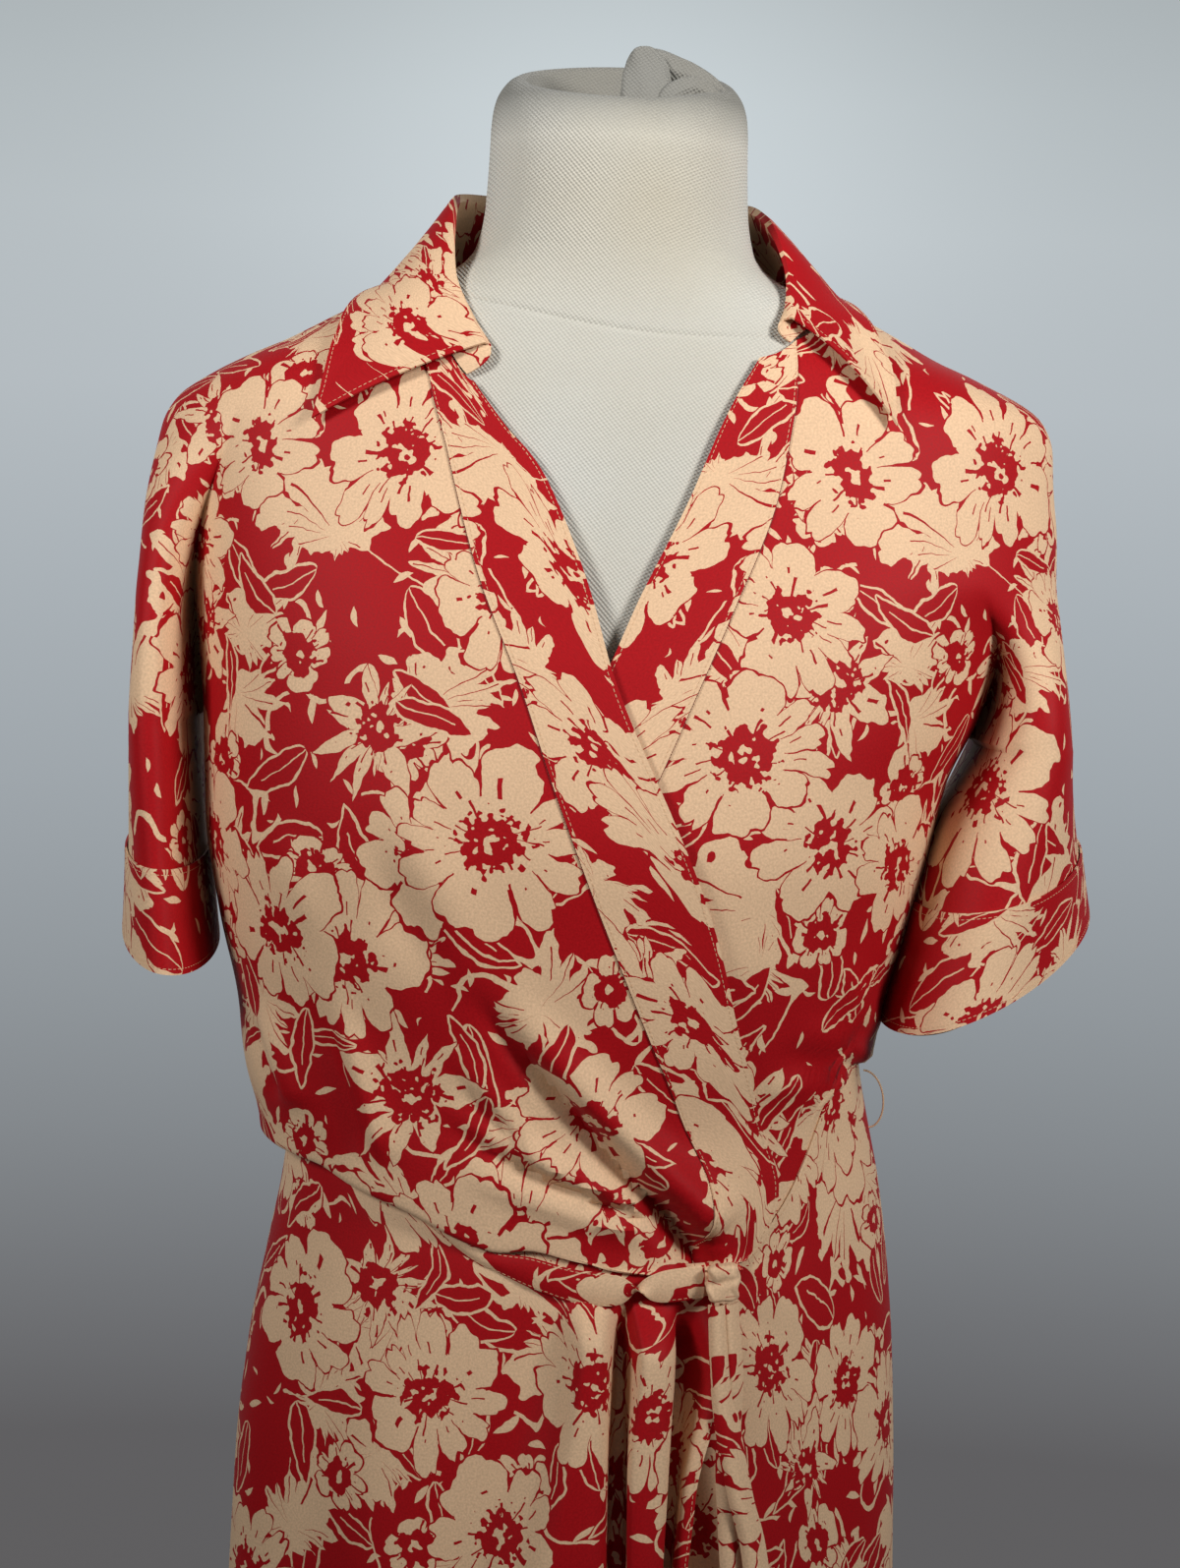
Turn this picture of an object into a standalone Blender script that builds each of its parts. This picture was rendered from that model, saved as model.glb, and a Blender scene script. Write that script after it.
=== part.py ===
"""Wrap dress with kimono sleeves, a shirt collar and a tie, on a limbless dress form with a round stand.

Metres, +Z up, the origin on the floor under the pole. The dress faces -Y, and the wearer's right is at -X.
Angles round the body are in degrees: 0 at the centre front, +90 at the wearer's left side, 180 at the back.
"""
import bpy
import numpy as np

# ------------------------------------------------------------------------------------------ cloth sizes
WALL = 0.0012            # cloth wall
SEAM_GAP = 0.0003        # between two pieces that are sewn together
LAYER = 0.0028           # from the under front to the over front, middle to middle
SQUARENESS = 2.2         # power of the rounded sections of body and dress
HEM_HEIGHT = 0.310
UNDERARM_HEIGHT = 1.215
SHOULDER_REST = 0.0019   # the cloth's middle above the form on the shoulders

# ------------------------------------------------------------------------------------------ the form
FORM_SECTIONS = np.array([  # height, half_width, front, back
    (0.745, 0.1260, 0.0820, 0.0980),
    (0.760, 0.1400, 0.0960, 0.1120),
    (0.820, 0.1500, 0.1060, 0.1220),
    (0.880, 0.1495, 0.1040, 0.1170),
    (0.950, 0.1380, 0.0970, 0.1020),
    (1.030, 0.1205, 0.0890, 0.0860),
    (1.060, 0.1230, 0.0930, 0.0860),
    (1.120, 0.1370, 0.1090, 0.0930),
    (1.190, 0.1550, 0.1240, 0.1020),
    (1.240, 0.1690, 0.1190, 0.1080),
    (1.280, 0.1810, 0.1090, 0.1110),
    (1.320, 0.1910, 0.0970, 0.1090),
    (1.350, 0.1930, 0.0890, 0.1020),
    (1.366, 0.1890, 0.0845, 0.0965),
    (1.375, 0.1815, 0.0815, 0.0925),
    (1.383, 0.1700, 0.0790, 0.0900),
    (1.393, 0.1505, 0.0755, 0.0865),
    (1.403, 0.1320, 0.0722, 0.0830),
    (1.413, 0.1117, 0.0692, 0.0795),
    (1.421, 0.0920, 0.0672, 0.0762),
    (1.427, 0.0800, 0.0660, 0.0735),
    (1.433, 0.0715, 0.0650, 0.0705),
    (1.440, 0.0665, 0.0640, 0.0675),
    (1.460, 0.0625, 0.0620, 0.0635),
    (1.500, 0.0610, 0.0605, 0.0610),
    (1.560, 0.0605, 0.0600, 0.0605),
])
FORM_BOTTOM = 0.743
FORM_LEVELS = np.array([  # heights of the torso's rings
    0.745, 0.750, 0.760, 0.785, 0.820, 0.860, 0.900, 0.945, 0.990, 1.030, 1.070, 1.110, 1.150, 1.190, 1.225,
    1.260, 1.290, 1.318, 1.340, 1.354, 1.365, 1.374, 1.382, 1.390,
])
SHOULDER_SHARES = (0.25, 0.5, 0.75, 1.0)           # further rings, from the last level to the neck seam
NECK_SHARES = (0, 0.1, 0.2, 0.32, 0.5, 0.75)       # rings of the neck, from its seam to the cap
FORM_COLUMNS = 44
NECK_SEAM_HEIGHT, NECK_SEAM_SLOPE, NECK_SEAM_LEAN = 1.416, 0.016, 0.009
CAP_HEIGHT, CAP_TILT, CAP_HOLLOW = 1.5210, 0.0185, 0.012
CAP_PROFILE = np.array([  # share_of_radius, drop
    (1.000, 0.0150), (0.985, 0.0082), (0.950, 0.0035), (0.900, 0.0008), (0.850, 0.0000), (0.780, 0.0020),
    (0.660, 0.0075), (0.450, 0.0105), (0.220, 0.0115),
])
TWIST_START, TWIST_RUN = (0.001, 0.004), (0.050, 0.016)   # x and y of its foot, and how far that runs on
TWIST_DEPTH, TWIST_HEIGHT, TWIST_LEAST = 0.004, 1.5400, 0.003

# ------------------------------------------------------------------------------------------ the bodice
YOKE_EASE = np.array([  # height, left, right, front, back: the cloth outside the form, sleeve heads included
    (1.180, 0.0695, 0.0770, 0.0070, 0.0085),
    (1.221, 0.0575, 0.0600, 0.0055, 0.0065),
    (1.269, 0.0412, 0.0400, 0.0030, 0.0040),
    (1.310, 0.0280, 0.0260, 0.0015, 0.0015),
    (1.338, 0.0215, 0.0195, 0.0008, 0.0008),
    (1.364, 0.0150, 0.0165, 0.0003, 0.0003),
    (1.373, 0.0085, 0.0120, 0.0000, 0.0000),
    (1.381, 0.0040, 0.0055, 0.0000, 0.0000),
    (1.392, 0.0000, 0.0000, 0.0000, 0.0000),
])
BODY_EASE = np.array([  # height, left, right, front, back: the same for the body alone, under the arms
    (0.980, 0.0190, 0.0170, 0.0110, 0.0080),
    (1.014, 0.0250, 0.0190, 0.0165, 0.0090),
    (1.049, 0.0350, 0.0148, 0.0205, 0.0110),
    (1.073, 0.0395, 0.0146, 0.0225, 0.0125),
    (1.101, 0.0420, 0.0148, 0.0205, 0.0125),
    (1.150, 0.0400, 0.0140, 0.0145, 0.0110),
    (1.193, 0.0320, 0.0115, 0.0078, 0.0095),
    (1.227, 0.0245, 0.0165, 0.0055, 0.0060),
    (1.290, 0.0150, 0.0130, 0.0022, 0.0025),
    (1.360, 0.0060, 0.0050, 0.0003, 0.0003),
    (1.392, 0.0000, 0.0000, 0.0000, 0.0000),
])
NECKLINE = np.array([  # angle, height: the seam of the collar, much the same on both sides
    (30, 1.3800), (38, 1.3860), (50, 1.3970), (60, 1.4060), (75, 1.4190), (90, 1.4270), (125, 1.4310),
    (180, 1.4320),
])
OVER_EDGE = np.array([  # height, edge_angle, seam_angle: the over front's band, from the waist up
    (0.974, 36.0, 27.0), (0.987, 41.6, 28.5), (1.009, 44.8, 28.5), (1.047, 38.3, 21.0), (1.086, 30.5, 12.0),
    (1.136, 22.7, 2.2), (1.184, 13.9, -6.0), (1.243, 2.8, -16.2), (1.282, -3.1, -25.5),
    (1.333, -14.9, -37.0), (1.357, -24.3, -42.0), (1.3835, -34.7, -49.0), (1.400, -41.0, -56.0),
])
UNDER_EDGE = np.array([  # height, edge_angle, seam_angle: the under front's band
    (0.985, -58.0, -38.0), (1.030, -47.0, -29.0), (1.060, -38.0, -19.0), (1.100, -28.0, -9.0),
    (1.150, -17.0, 2.0),
    (1.201, -8.0, 11.8), (1.245, 1.0, 20.5), (1.278, 7.9, 28.0), (1.322, 20.2, 38.5), (1.363, 31.8, 45.2),
    (1.392, 43.5, 50.6), (1.405, 49.5, 54.0),
])
WAIST_SEAM = np.array([  # angle, height
    (-180, 1.0400), (-130, 1.0400), (-90, 1.0340), (-72, 1.0310), (-57, 1.0290), (-49, 1.0215),
    (-36, 1.0110), (-28, 1.0020), (-18, 0.9930), (-11, 0.9890), (0, 0.9800), (10, 0.9745), (21, 0.9730),
    (36, 0.9745), (46, 0.9985), (53, 1.0220), (61, 1.0520), (71, 1.0600), (90, 1.0540), (130, 1.0420),
    (180, 1.0400),
])
OVER_SEAM_END = 33.0     # beyond this angle the over front's waist seam runs on level
OVERHANG = np.array([  # angle, out, droop: how far the bodice swells and hangs over its waist seam
    (-180, 0.0050, 0.0080), (-130, 0.0070, 0.0120), (-90, 0.0085, 0.0185), (-57, 0.0092, 0.0187),
    (-36, 0.0088, 0.0173), (-20, 0.0076, 0.0145), (-11, 0.0055, 0.0080), (0, 0.0040, 0.0040),
    (10, 0.0030, 0.0015), (30, 0.0015, 0.0000), (60, 0.0010, 0.0000), (80, 0.0015, 0.0010),
    (110, 0.0045, 0.0050), (180, 0.0050, 0.0080),
])
OVERHANG_ROWS = np.array([  # above_seam, droop_share, inset_share, taper: the last rows down to the seam
    (0.0040, 0.75, 0.00, 0.00),
    (0.0025, 1.00, 0.06, 0.33),
    (0.0012, 0.50, 0.22, 0.67),
])
SEAM_LIFT = 0.0060       # from the under front's waist seam to the over front's
SEAM_TUCK = (0.0030, 0.0030)   # how far the skirts' upper edges reach up behind the bodice, and inside it
PULL_FOLDS = np.array([  # start_x, start_z, end_x, end_z, height, width: ridges that run to the knot
    (-0.060, 1.118, 0.050, 0.992, 0.0042, 0.0085),
    (-0.064, 1.080, 0.010, 0.992, 0.0030, 0.0070),
    (-0.075, 1.047, 0.030, 0.994, 0.0036, 0.0070),
    (-0.118, 1.105, -0.088, 1.015, 0.0022, 0.0090),
])
OVER_SIDE, OVER_RAMP = -90.0, 32.0     # where the over front starts to stand off the layer below, in degrees
OVER_TOP, OVER_TOP_RAMP = 1.335, 0.06  # and up to which height it does
BODY_COLUMNS, SLEEVE_COLUMNS = 10, 6
YOKE_ROWS, BODY_ROWS = 9, 7
YOKE_CROWDING = 1.35                   # rows crowd towards the neckline
SLEEVE_ROWS = (0.22, 0.44, 0.62, 0.81, 1.00)   # shares of the sleeve below the underarm

# ------------------------------------------------------------------------------------------ the sleeves
FOLD_TOP = {-1: 1.366, 1: 1.290}      # where the fold between chest and sleeve begins, by side
SLEEVE_RINGS = {                      # by side
    -1: np.array([  # share, height, inner, outer, middle_y, depth, turn, front_dip, outer_rise
        (0.0, 1.2150, 0.1945, 0.2215, 0.000, 0.070, 0.0, 0.000, 0.000),
        (0.5, 1.1640, 0.1905, 0.2238, 0.000, 0.072, 3.0, 0.004, 0.002),
        (1.0, 1.1070, 0.1830, 0.2255, -0.002, 0.074, 6.0, 0.010, 0.004),
    ]),
    1: np.array([  # the same on the wearer's left
        (0.0, 1.2150, 0.1850, 0.2250, 0.000, 0.070, 0.0, 0.000, 0.000),
        (0.5, 1.1680, 0.1690, 0.2325, -0.002, 0.074, 8.0, 0.010, 0.004),
        (1.0, 1.1100, 0.1560, 0.2370, -0.006, 0.077, 16.0, 0.022, 0.012),
    ]),
}
SLEEVE_ROUND = 0.77      # 1 for an ellipse, less for a fuller ring
CUFF_ROWS = 3            # of the sleeve's last rows, that the turned-back cuff covers
CUFF_STEP = 0.0017       # from the sleeve to the cuff, middle to middle


# ------------------------------------------------------------------------------------------ the collar
COLLAR_STATIONS = np.array([  # angle, roll_x, roll_y, roll_z, edge_x, edge_y, edge_z, bow_out, bow_up
    (-41, -0.0575, -0.0760, 1.3945, -0.1350, -0.0745, 1.3545, 0.0040, 0.0040),
    (-62, -0.0740, -0.0500, 1.4260, -0.1267, -0.0590, 1.3850, 0.0040, 0.0020),
    (-90, -0.0775, -0.0080, 1.4630, -0.1125, 0.0000, 1.4165, 0.0020, -0.0040),
    (-125, -0.0600, 0.0470, 1.4700, -0.0830, 0.0590, 1.4190, 0.0040, 0.0000),
    (-180, 0.0000, 0.0760, 1.4710, 0.0000, 0.0990, 1.4110, 0.0060, 0.0000),
    (-235, 0.0600, 0.0470, 1.4700, 0.0800, 0.0570, 1.4200, 0.0060, 0.0000),
    (-270, 0.0715, -0.0080, 1.4590, 0.0985, 0.0000, 1.4205, 0.0075, 0.0000),
    (-296, 0.0810, -0.0420, 1.4270, 0.1205, -0.0450, 1.4015, 0.0060, 0.0000),
    (-310, 0.0812, -0.0640, 1.4085, 0.1318, -0.0715, 1.3670, 0.0030, 0.0020),
])
COLLAR_COLUMNS = 22
STAND_STEPS, FALL_STEPS = 2, 5
COLLAR_LIFT = 0.0016     # the collar's seam edge above the neck edges that it is sewn to
COLLAR_CLEAR = 0.0042    # from the bodice to the fall, middle to middle, where the fall rests
STEP = 0.0005            # half a step for slopes

# ------------------------------------------------------------------------------------------ the skirt
SKIRT_SECTIONS = np.array([  # height, left, right, front, back
    (0.310, 0.2050, 0.2020, 0.1480, 0.1560),
    (0.500, 0.1830, 0.1810, 0.1320, 0.1420),
    (0.700, 0.1660, 0.1640, 0.1190, 0.1310),
    (0.800, 0.1610, 0.1590, 0.1150, 0.1270),
    (0.860, 0.1611, 0.1575, 0.1135, 0.1225),
    (0.916, 0.1575, 0.1545, 0.1110, 0.1140),
    (0.960, 0.1505, 0.1500, 0.1085, 0.1050),
    (1.000, 0.1440, 0.1438, 0.1065, 0.0980),
    (1.030, 0.1420, 0.1375, 0.1065, 0.0965),
    (1.062, 0.1500, 0.1345, 0.1100, 0.0985),
])
CASCADE = np.array([  # share, top_angle, low_angle, top_out, low_out, top_drop: over skirt, to its free edge
    (0.00, -90.0, -90.0, 0.0000, 0.0000, 0.0000),
    (0.14, -72.0, -70.0, 0.0032, 0.0120, 0.0010),
    (0.26, -52.0, -52.0, 0.0059, 0.0030, 0.0025),
    (0.38, -32.0, -34.0, 0.0059, 0.0130, 0.0025),
    (0.50, -12.0, -14.0, 0.0059, 0.0035, 0.0025),
    (0.60, 3.0, -1.0, 0.0059, 0.0150, 0.0025),
    (0.65, 6.5, 5.0, 0.0059, 0.0035, 0.0025),
    (0.72, 13.0, 13.0, 0.0059, 0.0160, 0.0025),
    (0.77, 16.5, 16.0, 0.0059, 0.0040, 0.0025),
    (0.83, 24.0, 20.5, 0.0059, 0.0160, 0.0025),
    (0.88, 28.0, 25.0, 0.0059, 0.0040, 0.0025),
    (0.93, 31.0, 26.5, 0.0060, 0.0045, 0.0040),
    (0.96, 32.3, 26.0, 0.0075, 0.0110, 0.0080),
    (1.00, 31.0, 21.5, 0.0085, 0.0190, 0.0100),
])
OVER_SKIRT_COLUMNS, SKIRT_ROWS = 24, 6
UNDER_SKIRT_HEM_EDGE = -42.0     # angle of its hidden edge at the hem
HEM_WAVES = np.array([  # angle, height, width: soft flare folds, full at the hem
    (-165, 0.016, 11), (-130, 0.014, 10), (-105, 0.012, 9), (58, 0.014, 9), (80, 0.012, 9),
    (104, 0.014, 9), (135, 0.016, 11), (165, 0.012, 9),
])

# ------------------------------------------------------------------------------------------ tie and loop
TIE_ROUTE = np.array([  # angle, height, out, width: the strap's middle, from the left side round the back
    (77, 1.0410, 0.0055, 0.0150), (100, 1.0370, 0.0055, 0.0150), (140, 1.0230, 0.0042, 0.0150),
    (180, 1.0190, 0.0042, 0.0150), (220, 1.0170, 0.0042, 0.0140), (250, 1.0180, 0.0048, 0.0100),
    (270, 1.0200, 0.0050, 0.0080), (288, 1.0180, 0.0056, 0.0080), (303, 1.0150, 0.0062, 0.0080),
    (324, 0.9970, 0.0064, 0.0080), (340, 0.9776, 0.0063, 0.0080), (350, 0.9732, 0.0083, 0.0138),
    (360, 0.9680, 0.0098, 0.0150), (369, 0.9645, 0.0104, 0.0150), (378, 0.9640, 0.0108, 0.0150),
    (386.55, 0.9645, 0.0112, 0.0150),
])
TIE_COLUMNS = 36
KNOT_CENTRE = (0.0655, -0.1165, 0.9655)
KNOT_HALF = (0.0085, 0.0062, 0.0105)
TAILS = {  # rows of x, y, z, width, from the knot down
    "tie_tail_long": np.array([
        (0.0670, -0.1180, 0.9552, 0.0100), (0.0705, -0.1200, 0.9280, 0.0110),
        (0.0725, -0.1215, 0.8980, 0.0130), (0.0780, -0.1215, 0.8740, 0.0120),
        (0.0845, -0.1200, 0.8500, 0.0110), (0.0890, -0.1220, 0.8000, 0.0140),
        (0.0900, -0.1240, 0.7400, 0.0180), (0.0910, -0.1250, 0.7000, 0.0180)]),
    "tie_tail_short": np.array([
        (0.0700, -0.1150, 0.9550, 0.0080), (0.0712, -0.1165, 0.9250, 0.0090),
        (0.0702, -0.1168, 0.8950, 0.0105), (0.0730, -0.1165, 0.8620, 0.0120),
        (0.0790, -0.1150, 0.8100, 0.0140)]),
}
LOOP_HEIGHTS = (1.0520, 1.0240)
LOOP_Y, LOOP_SET_IN, LOOP_REACH, LOOP_RADIUS = -0.012, 0.0007, 0.0135, 0.0007

# ------------------------------------------------------------------------------------------ the stand
PLATE_RADIUS, PLATE_THICKNESS = 0.060, 0.006
POLE_RADIUS = 0.0125
BASE_RADIUS, BASE_THICKNESS = 0.190, 0.014
BASE_COLLAR_RADIUS, BASE_COLLAR_HEIGHT = 0.026, 0.045
TOUCH_GAP = 0.0003


# ========================================================================================== curves and rings
def curve(x, knots, values):
    """Smooth curve through the knots that doesn't overshoot them: cubic pieces with limited slopes."""
    knots, values = np.asarray(knots, float), np.asarray(values, float)
    step = np.diff(knots)
    rise = np.diff(values) / step
    slope = np.zeros(len(knots))
    near, far = 2 * step[1:] + step[:-1], step[1:] + 2 * step[:-1]
    same = rise[:-1] * rise[1:] > 0
    with np.errstate(divide="ignore", invalid="ignore"):
        mean = (near + far) / (near / rise[:-1] + far / rise[1:])
    slope[1:-1] = np.where(same, mean, 0)
    slope[0], slope[-1] = rise[0], rise[-1]
    k = np.clip(np.searchsorted(knots, x, side="right") - 1, 0, len(step) - 1)
    t = np.clip((x - knots[k]) / step[k], 0, 1)
    return ((1 + 2 * t) * (1 - t) ** 2 * values[k] + t * (1 - t) ** 2 * step[k] * slope[k]
            + t ** 2 * (3 - 2 * t) * values[k + 1] + t ** 2 * (t - 1) * step[k] * slope[k + 1])


def column(table, x, index):
    """One column of a table, read as a curve of its first column."""
    return curve(x, table[:, 0], table[:, index])


def smooth(x):
    """0 below 0, 1 above 1, an even S between."""
    x = np.clip(x, 0, 1)
    return x * x * (3 - 2 * x)


def ring(angle, left, right, front, back):
    """The radius of a rounded section at an angle in degrees."""
    turn = np.radians(angle)
    across, ahead = np.sin(turn), np.cos(turn)
    width = np.where(across < 0, left, right)
    depth = np.where(ahead > 0, front, back)
    power = SQUARENESS
    radius = ((np.abs(ahead) / depth) ** power + (np.abs(across) / width) ** power) ** (-1 / power)
    return radius


def placed(angle, radius, height):
    """Points at an angle, a distance from the axis and a height."""
    turn = np.radians(angle)
    angle, radius, height = np.broadcast_arrays(turn, radius, height)
    return np.stack([radius * np.sin(turn), -radius * np.cos(turn), height], axis=-1)


def form_radius(angle, height):
    """The form's radius at an angle and a height."""
    width = column(FORM_SECTIONS, height, 1)
    return ring(angle, width, width, column(FORM_SECTIONS, height, 2), column(FORM_SECTIONS, height, 3))


def cloth_radius(angle, height, ease):
    """The radius of cloth that lies on the form raised by SHOULDER_REST, with an ease table added."""
    low = height - SHOULDER_REST
    width = column(FORM_SECTIONS, low, 1) + 0.0010
    front = column(FORM_SECTIONS, low, 2) + 0.0016
    back = column(FORM_SECTIONS, low, 3) + 0.0016
    return ring(angle, width + column(ease, height, 1), width + column(ease, height, 2),
                front + column(ease, height, 3), back + column(ease, height, 4))


def skirt_radius(angle, height):
    """The skirt's radius before its folds."""
    return ring(angle, *[column(SKIRT_SECTIONS, height, k) for k in (1, 2, 3, 4)])


def signed(angle):
    """The same angle between -180 and 180."""
    return (angle + 180) % 360 - 180


# ========================================================================================== meshes
def material(name, colour, roughness, metallic=0.0):
    made = bpy.data.materials.new(name)
    made.use_nodes = True
    shader = made.node_tree.nodes["Principled BSDF"]
    shader.inputs["Base Color"].default_value = (*colour, 1)
    shader.inputs["Roughness"].default_value = roughness
    shader.inputs["Metallic"].default_value = metallic
    return made


def put(name, points, faces, finish, flat_angle=40):
    """A named object of the points and faces, smooth but for edges sharper than flat_angle."""
    mesh = bpy.data.meshes.new(name)
    mesh.from_pydata(np.asarray(points).tolist(), [], [tuple(face) for face in faces])
    mesh.validate()
    mesh.materials.append(finish)
    mesh.shade_smooth()
    mesh.set_sharp_from_angle(angle=np.radians(flat_angle))
    thing = bpy.data.objects.new(name, mesh)
    bpy.context.collection.objects.link(thing)
    return thing


def quads(index, closed=False):
    """The four-cornered faces between neighbours in a grid of point numbers."""
    if closed:
        index = np.concatenate([index, index[:, :1]], axis=1)
    return np.stack([index[:-1, :-1], index[:-1, 1:], index[1:, 1:], index[1:, :-1]], axis=-1).reshape(-1, 4)


def face_normals(points, faces):
    """One normal for each face, as long as twice its area."""
    corner = points[faces]
    return np.cross(corner[:, 2] - corner[:, 0], corner[:, 3] - corner[:, 1])


TURN_OVER = [0, 3, 2, 1]   # a face's corners for its other side, with the same diagonal


class Sheet:
    """One flat-cut piece as a middle surface: points, faces, and a normal for each point."""

    def __init__(self, name, points, faces):
        self.name, self.points, self.faces = name, points, faces
        outward = face_normals(points, faces)
        centre = points[faces].mean(axis=1) * (1, 1, 0)
        if (outward * centre).sum() < 0:
            self.faces = faces[:, TURN_OVER]
        self.normals = self.summed()

    @classmethod
    def grid(cls, name, points, closed=False):
        rows, columns = points.shape[:2]
        index = np.arange(rows * columns).reshape(rows, columns)
        return cls(name, points.reshape(-1, 3), quads(index, closed))

    def summed(self):
        """The sum of the normals of the faces round each point."""
        total = np.zeros_like(self.points)
        outward = face_normals(self.points, self.faces)
        for corner in range(4):
            np.add.at(total, self.faces[:, corner], outward)
        return total

    def evenness(self, normals):
        """The mean cosine between each point's normal and the faces round it."""
        faces = face_normals(self.points, self.faces)
        faces /= np.linalg.norm(faces, axis=1, keepdims=True)
        total, count = np.zeros(len(self.points)), np.zeros(len(self.points))
        for corner in range(4):
            np.add.at(total, self.faces[:, corner], (normals[self.faces[:, corner]] * faces).sum(axis=1))
            np.add.at(count, self.faces[:, corner], 1)
        return np.clip(total / count, 0.6, 1)

    def rim(self):
        """The edges that only one face has, in that face's direction."""
        ahead = np.stack([self.faces, np.roll(self.faces, -1, axis=1)], axis=-1).reshape(-1, 2)
        size = len(self.points)
        back = ahead[:, 1] * size + ahead[:, 0]
        return ahead[~np.isin(ahead[:, 0] * size + ahead[:, 1], back)]

    def pull_in(self, columns, inner):
        """Moves the points of a seam half a seam gap towards their neighbours inside the piece."""
        way = self.points[inner] - self.points[columns]
        way /= np.linalg.norm(way, axis=-1, keepdims=True)
        self.points[columns] += way * SEAM_GAP / 2

    def build(self, finish, wall=WALL, lift=0.0):
        """The solid wall of the sheet, its middle moved out by lift.

        A face is split along its shorter diagonal.
        """
        normals = self.normals / np.linalg.norm(self.normals, axis=1, keepdims=True)
        normals /= self.evenness(normals)[:, None]
        outer = self.points + normals * (lift + wall / 2)
        inner = self.points + normals * (lift - wall / 2)
        rim, size = self.rim(), len(self.points)
        sides = np.stack([rim[:, 1], rim[:, 0], rim[:, 0] + size, rim[:, 1] + size], axis=-1)
        corner = self.points[self.faces]
        first, second = [np.linalg.norm(corner[:, k] - corner[:, k + 2], axis=1) for k in (0, 1)]
        split = np.where((second < first)[:, None], np.roll(self.faces, -1, axis=1), self.faces)
        faces = np.concatenate([split, split[:, TURN_OVER] + size, sides])
        return put(self.name, np.concatenate([outer, inner]), faces, finish)


def share_normals(sheets):
    """Gives points of different sheets that lie together one normal, so that walls meet flush at a seam."""
    points = np.concatenate([sheet.points for sheet in sheets])
    normals = np.concatenate([sheet.normals for sheet in sheets])
    key = np.unique(np.round(points / 1e-5).astype(int), axis=0, return_inverse=True)[1].ravel()
    total = np.zeros((key.max() + 1, 3))
    np.add.at(total, key, normals)
    start = 0
    for sheet in sheets:
        sheet.normals = total[key[start:start + len(sheet.points)]]
        start += len(sheet.points)


# ========================================================================================== the bodice
def fold_relief(x, z):
    """Height of the ridges that run to the knot: each a bell across a line, faded at its upper end."""
    height = np.zeros(np.broadcast(x, z).shape)
    for start_x, start_z, end_x, end_z, rise, width in PULL_FOLDS:
        run = np.array([end_x - start_x, end_z - start_z])
        length = np.hypot(*run)
        run /= length
        along = (x - start_x) * run[0] + (z - start_z) * run[1]
        across = (x - start_x) * run[1] - (z - start_z) * run[0]
        fade = smooth(along / (0.6 * length)) * smooth((length - along) / 0.012)
        height += rise * fade * np.exp(-(across / width) ** 2)
    return height


def over_lift(angle, height):
    """How far the over front stands off the layer below: nothing at its side seam and on the shoulder."""
    return LAYER * smooth((angle - OVER_SIDE) / OVER_RAMP) * smooth((OVER_TOP - height) / OVER_TOP_RAMP)


def body_radius(angle, height, over, ease=BODY_EASE):
    """The radius of a front or the back, with the over front's lift and folds if it is that piece."""
    radius = cloth_radius(angle, height, ease)
    if over:
        radius = radius + over_lift(angle, height) + fold_relief(radius * np.sin(np.radians(angle)), height)
    return radius


def sleeve_point(side, share, turn):
    """A point of the sleeve's tube. turn is 0 at the underarm, 180 at the overarm, and minus behind.

    The ring is a rounded oblong between its inner and outer x, turned a little and lower in front.
    """
    table = SLEEVE_RINGS[side]
    height, inner, outer, middle, depth, twist, dip, rise = [column(table, share, k) for k in range(1, 9)]
    turn, twist = np.radians(turn), np.radians(twist)
    across = -np.sign(np.cos(turn)) * np.abs(np.cos(turn)) ** SLEEVE_ROUND * (outer - inner) / 2
    ahead = np.sign(np.sin(turn)) * np.abs(np.sin(turn)) ** SLEEVE_ROUND * depth
    x = (inner + outer) / 2 + across * np.cos(twist) - ahead * np.sin(twist)
    y = middle - across * np.sin(twist) - ahead * np.cos(twist)
    z = height - dip * np.sin(turn) - rise * np.cos(turn)
    return np.stack(np.broadcast_arrays(side * x, y, z), axis=-1)


def crotch_blend(side, height):
    """How far the fold between chest and sleeve has opened: 0 above the fold, 1 at the underarm."""
    return smooth((FOLD_TOP[side] - height) / (FOLD_TOP[side] - UNDERARM_HEIGHT)) ** 0.75


def crossing(start, level):
    """The height where an edge, given as angle by height, meets a line, given as height by angle."""
    height = np.array(level(0.0) * 1.0)
    for _ in range(12):
        height = level(start(height))
    return height


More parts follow.
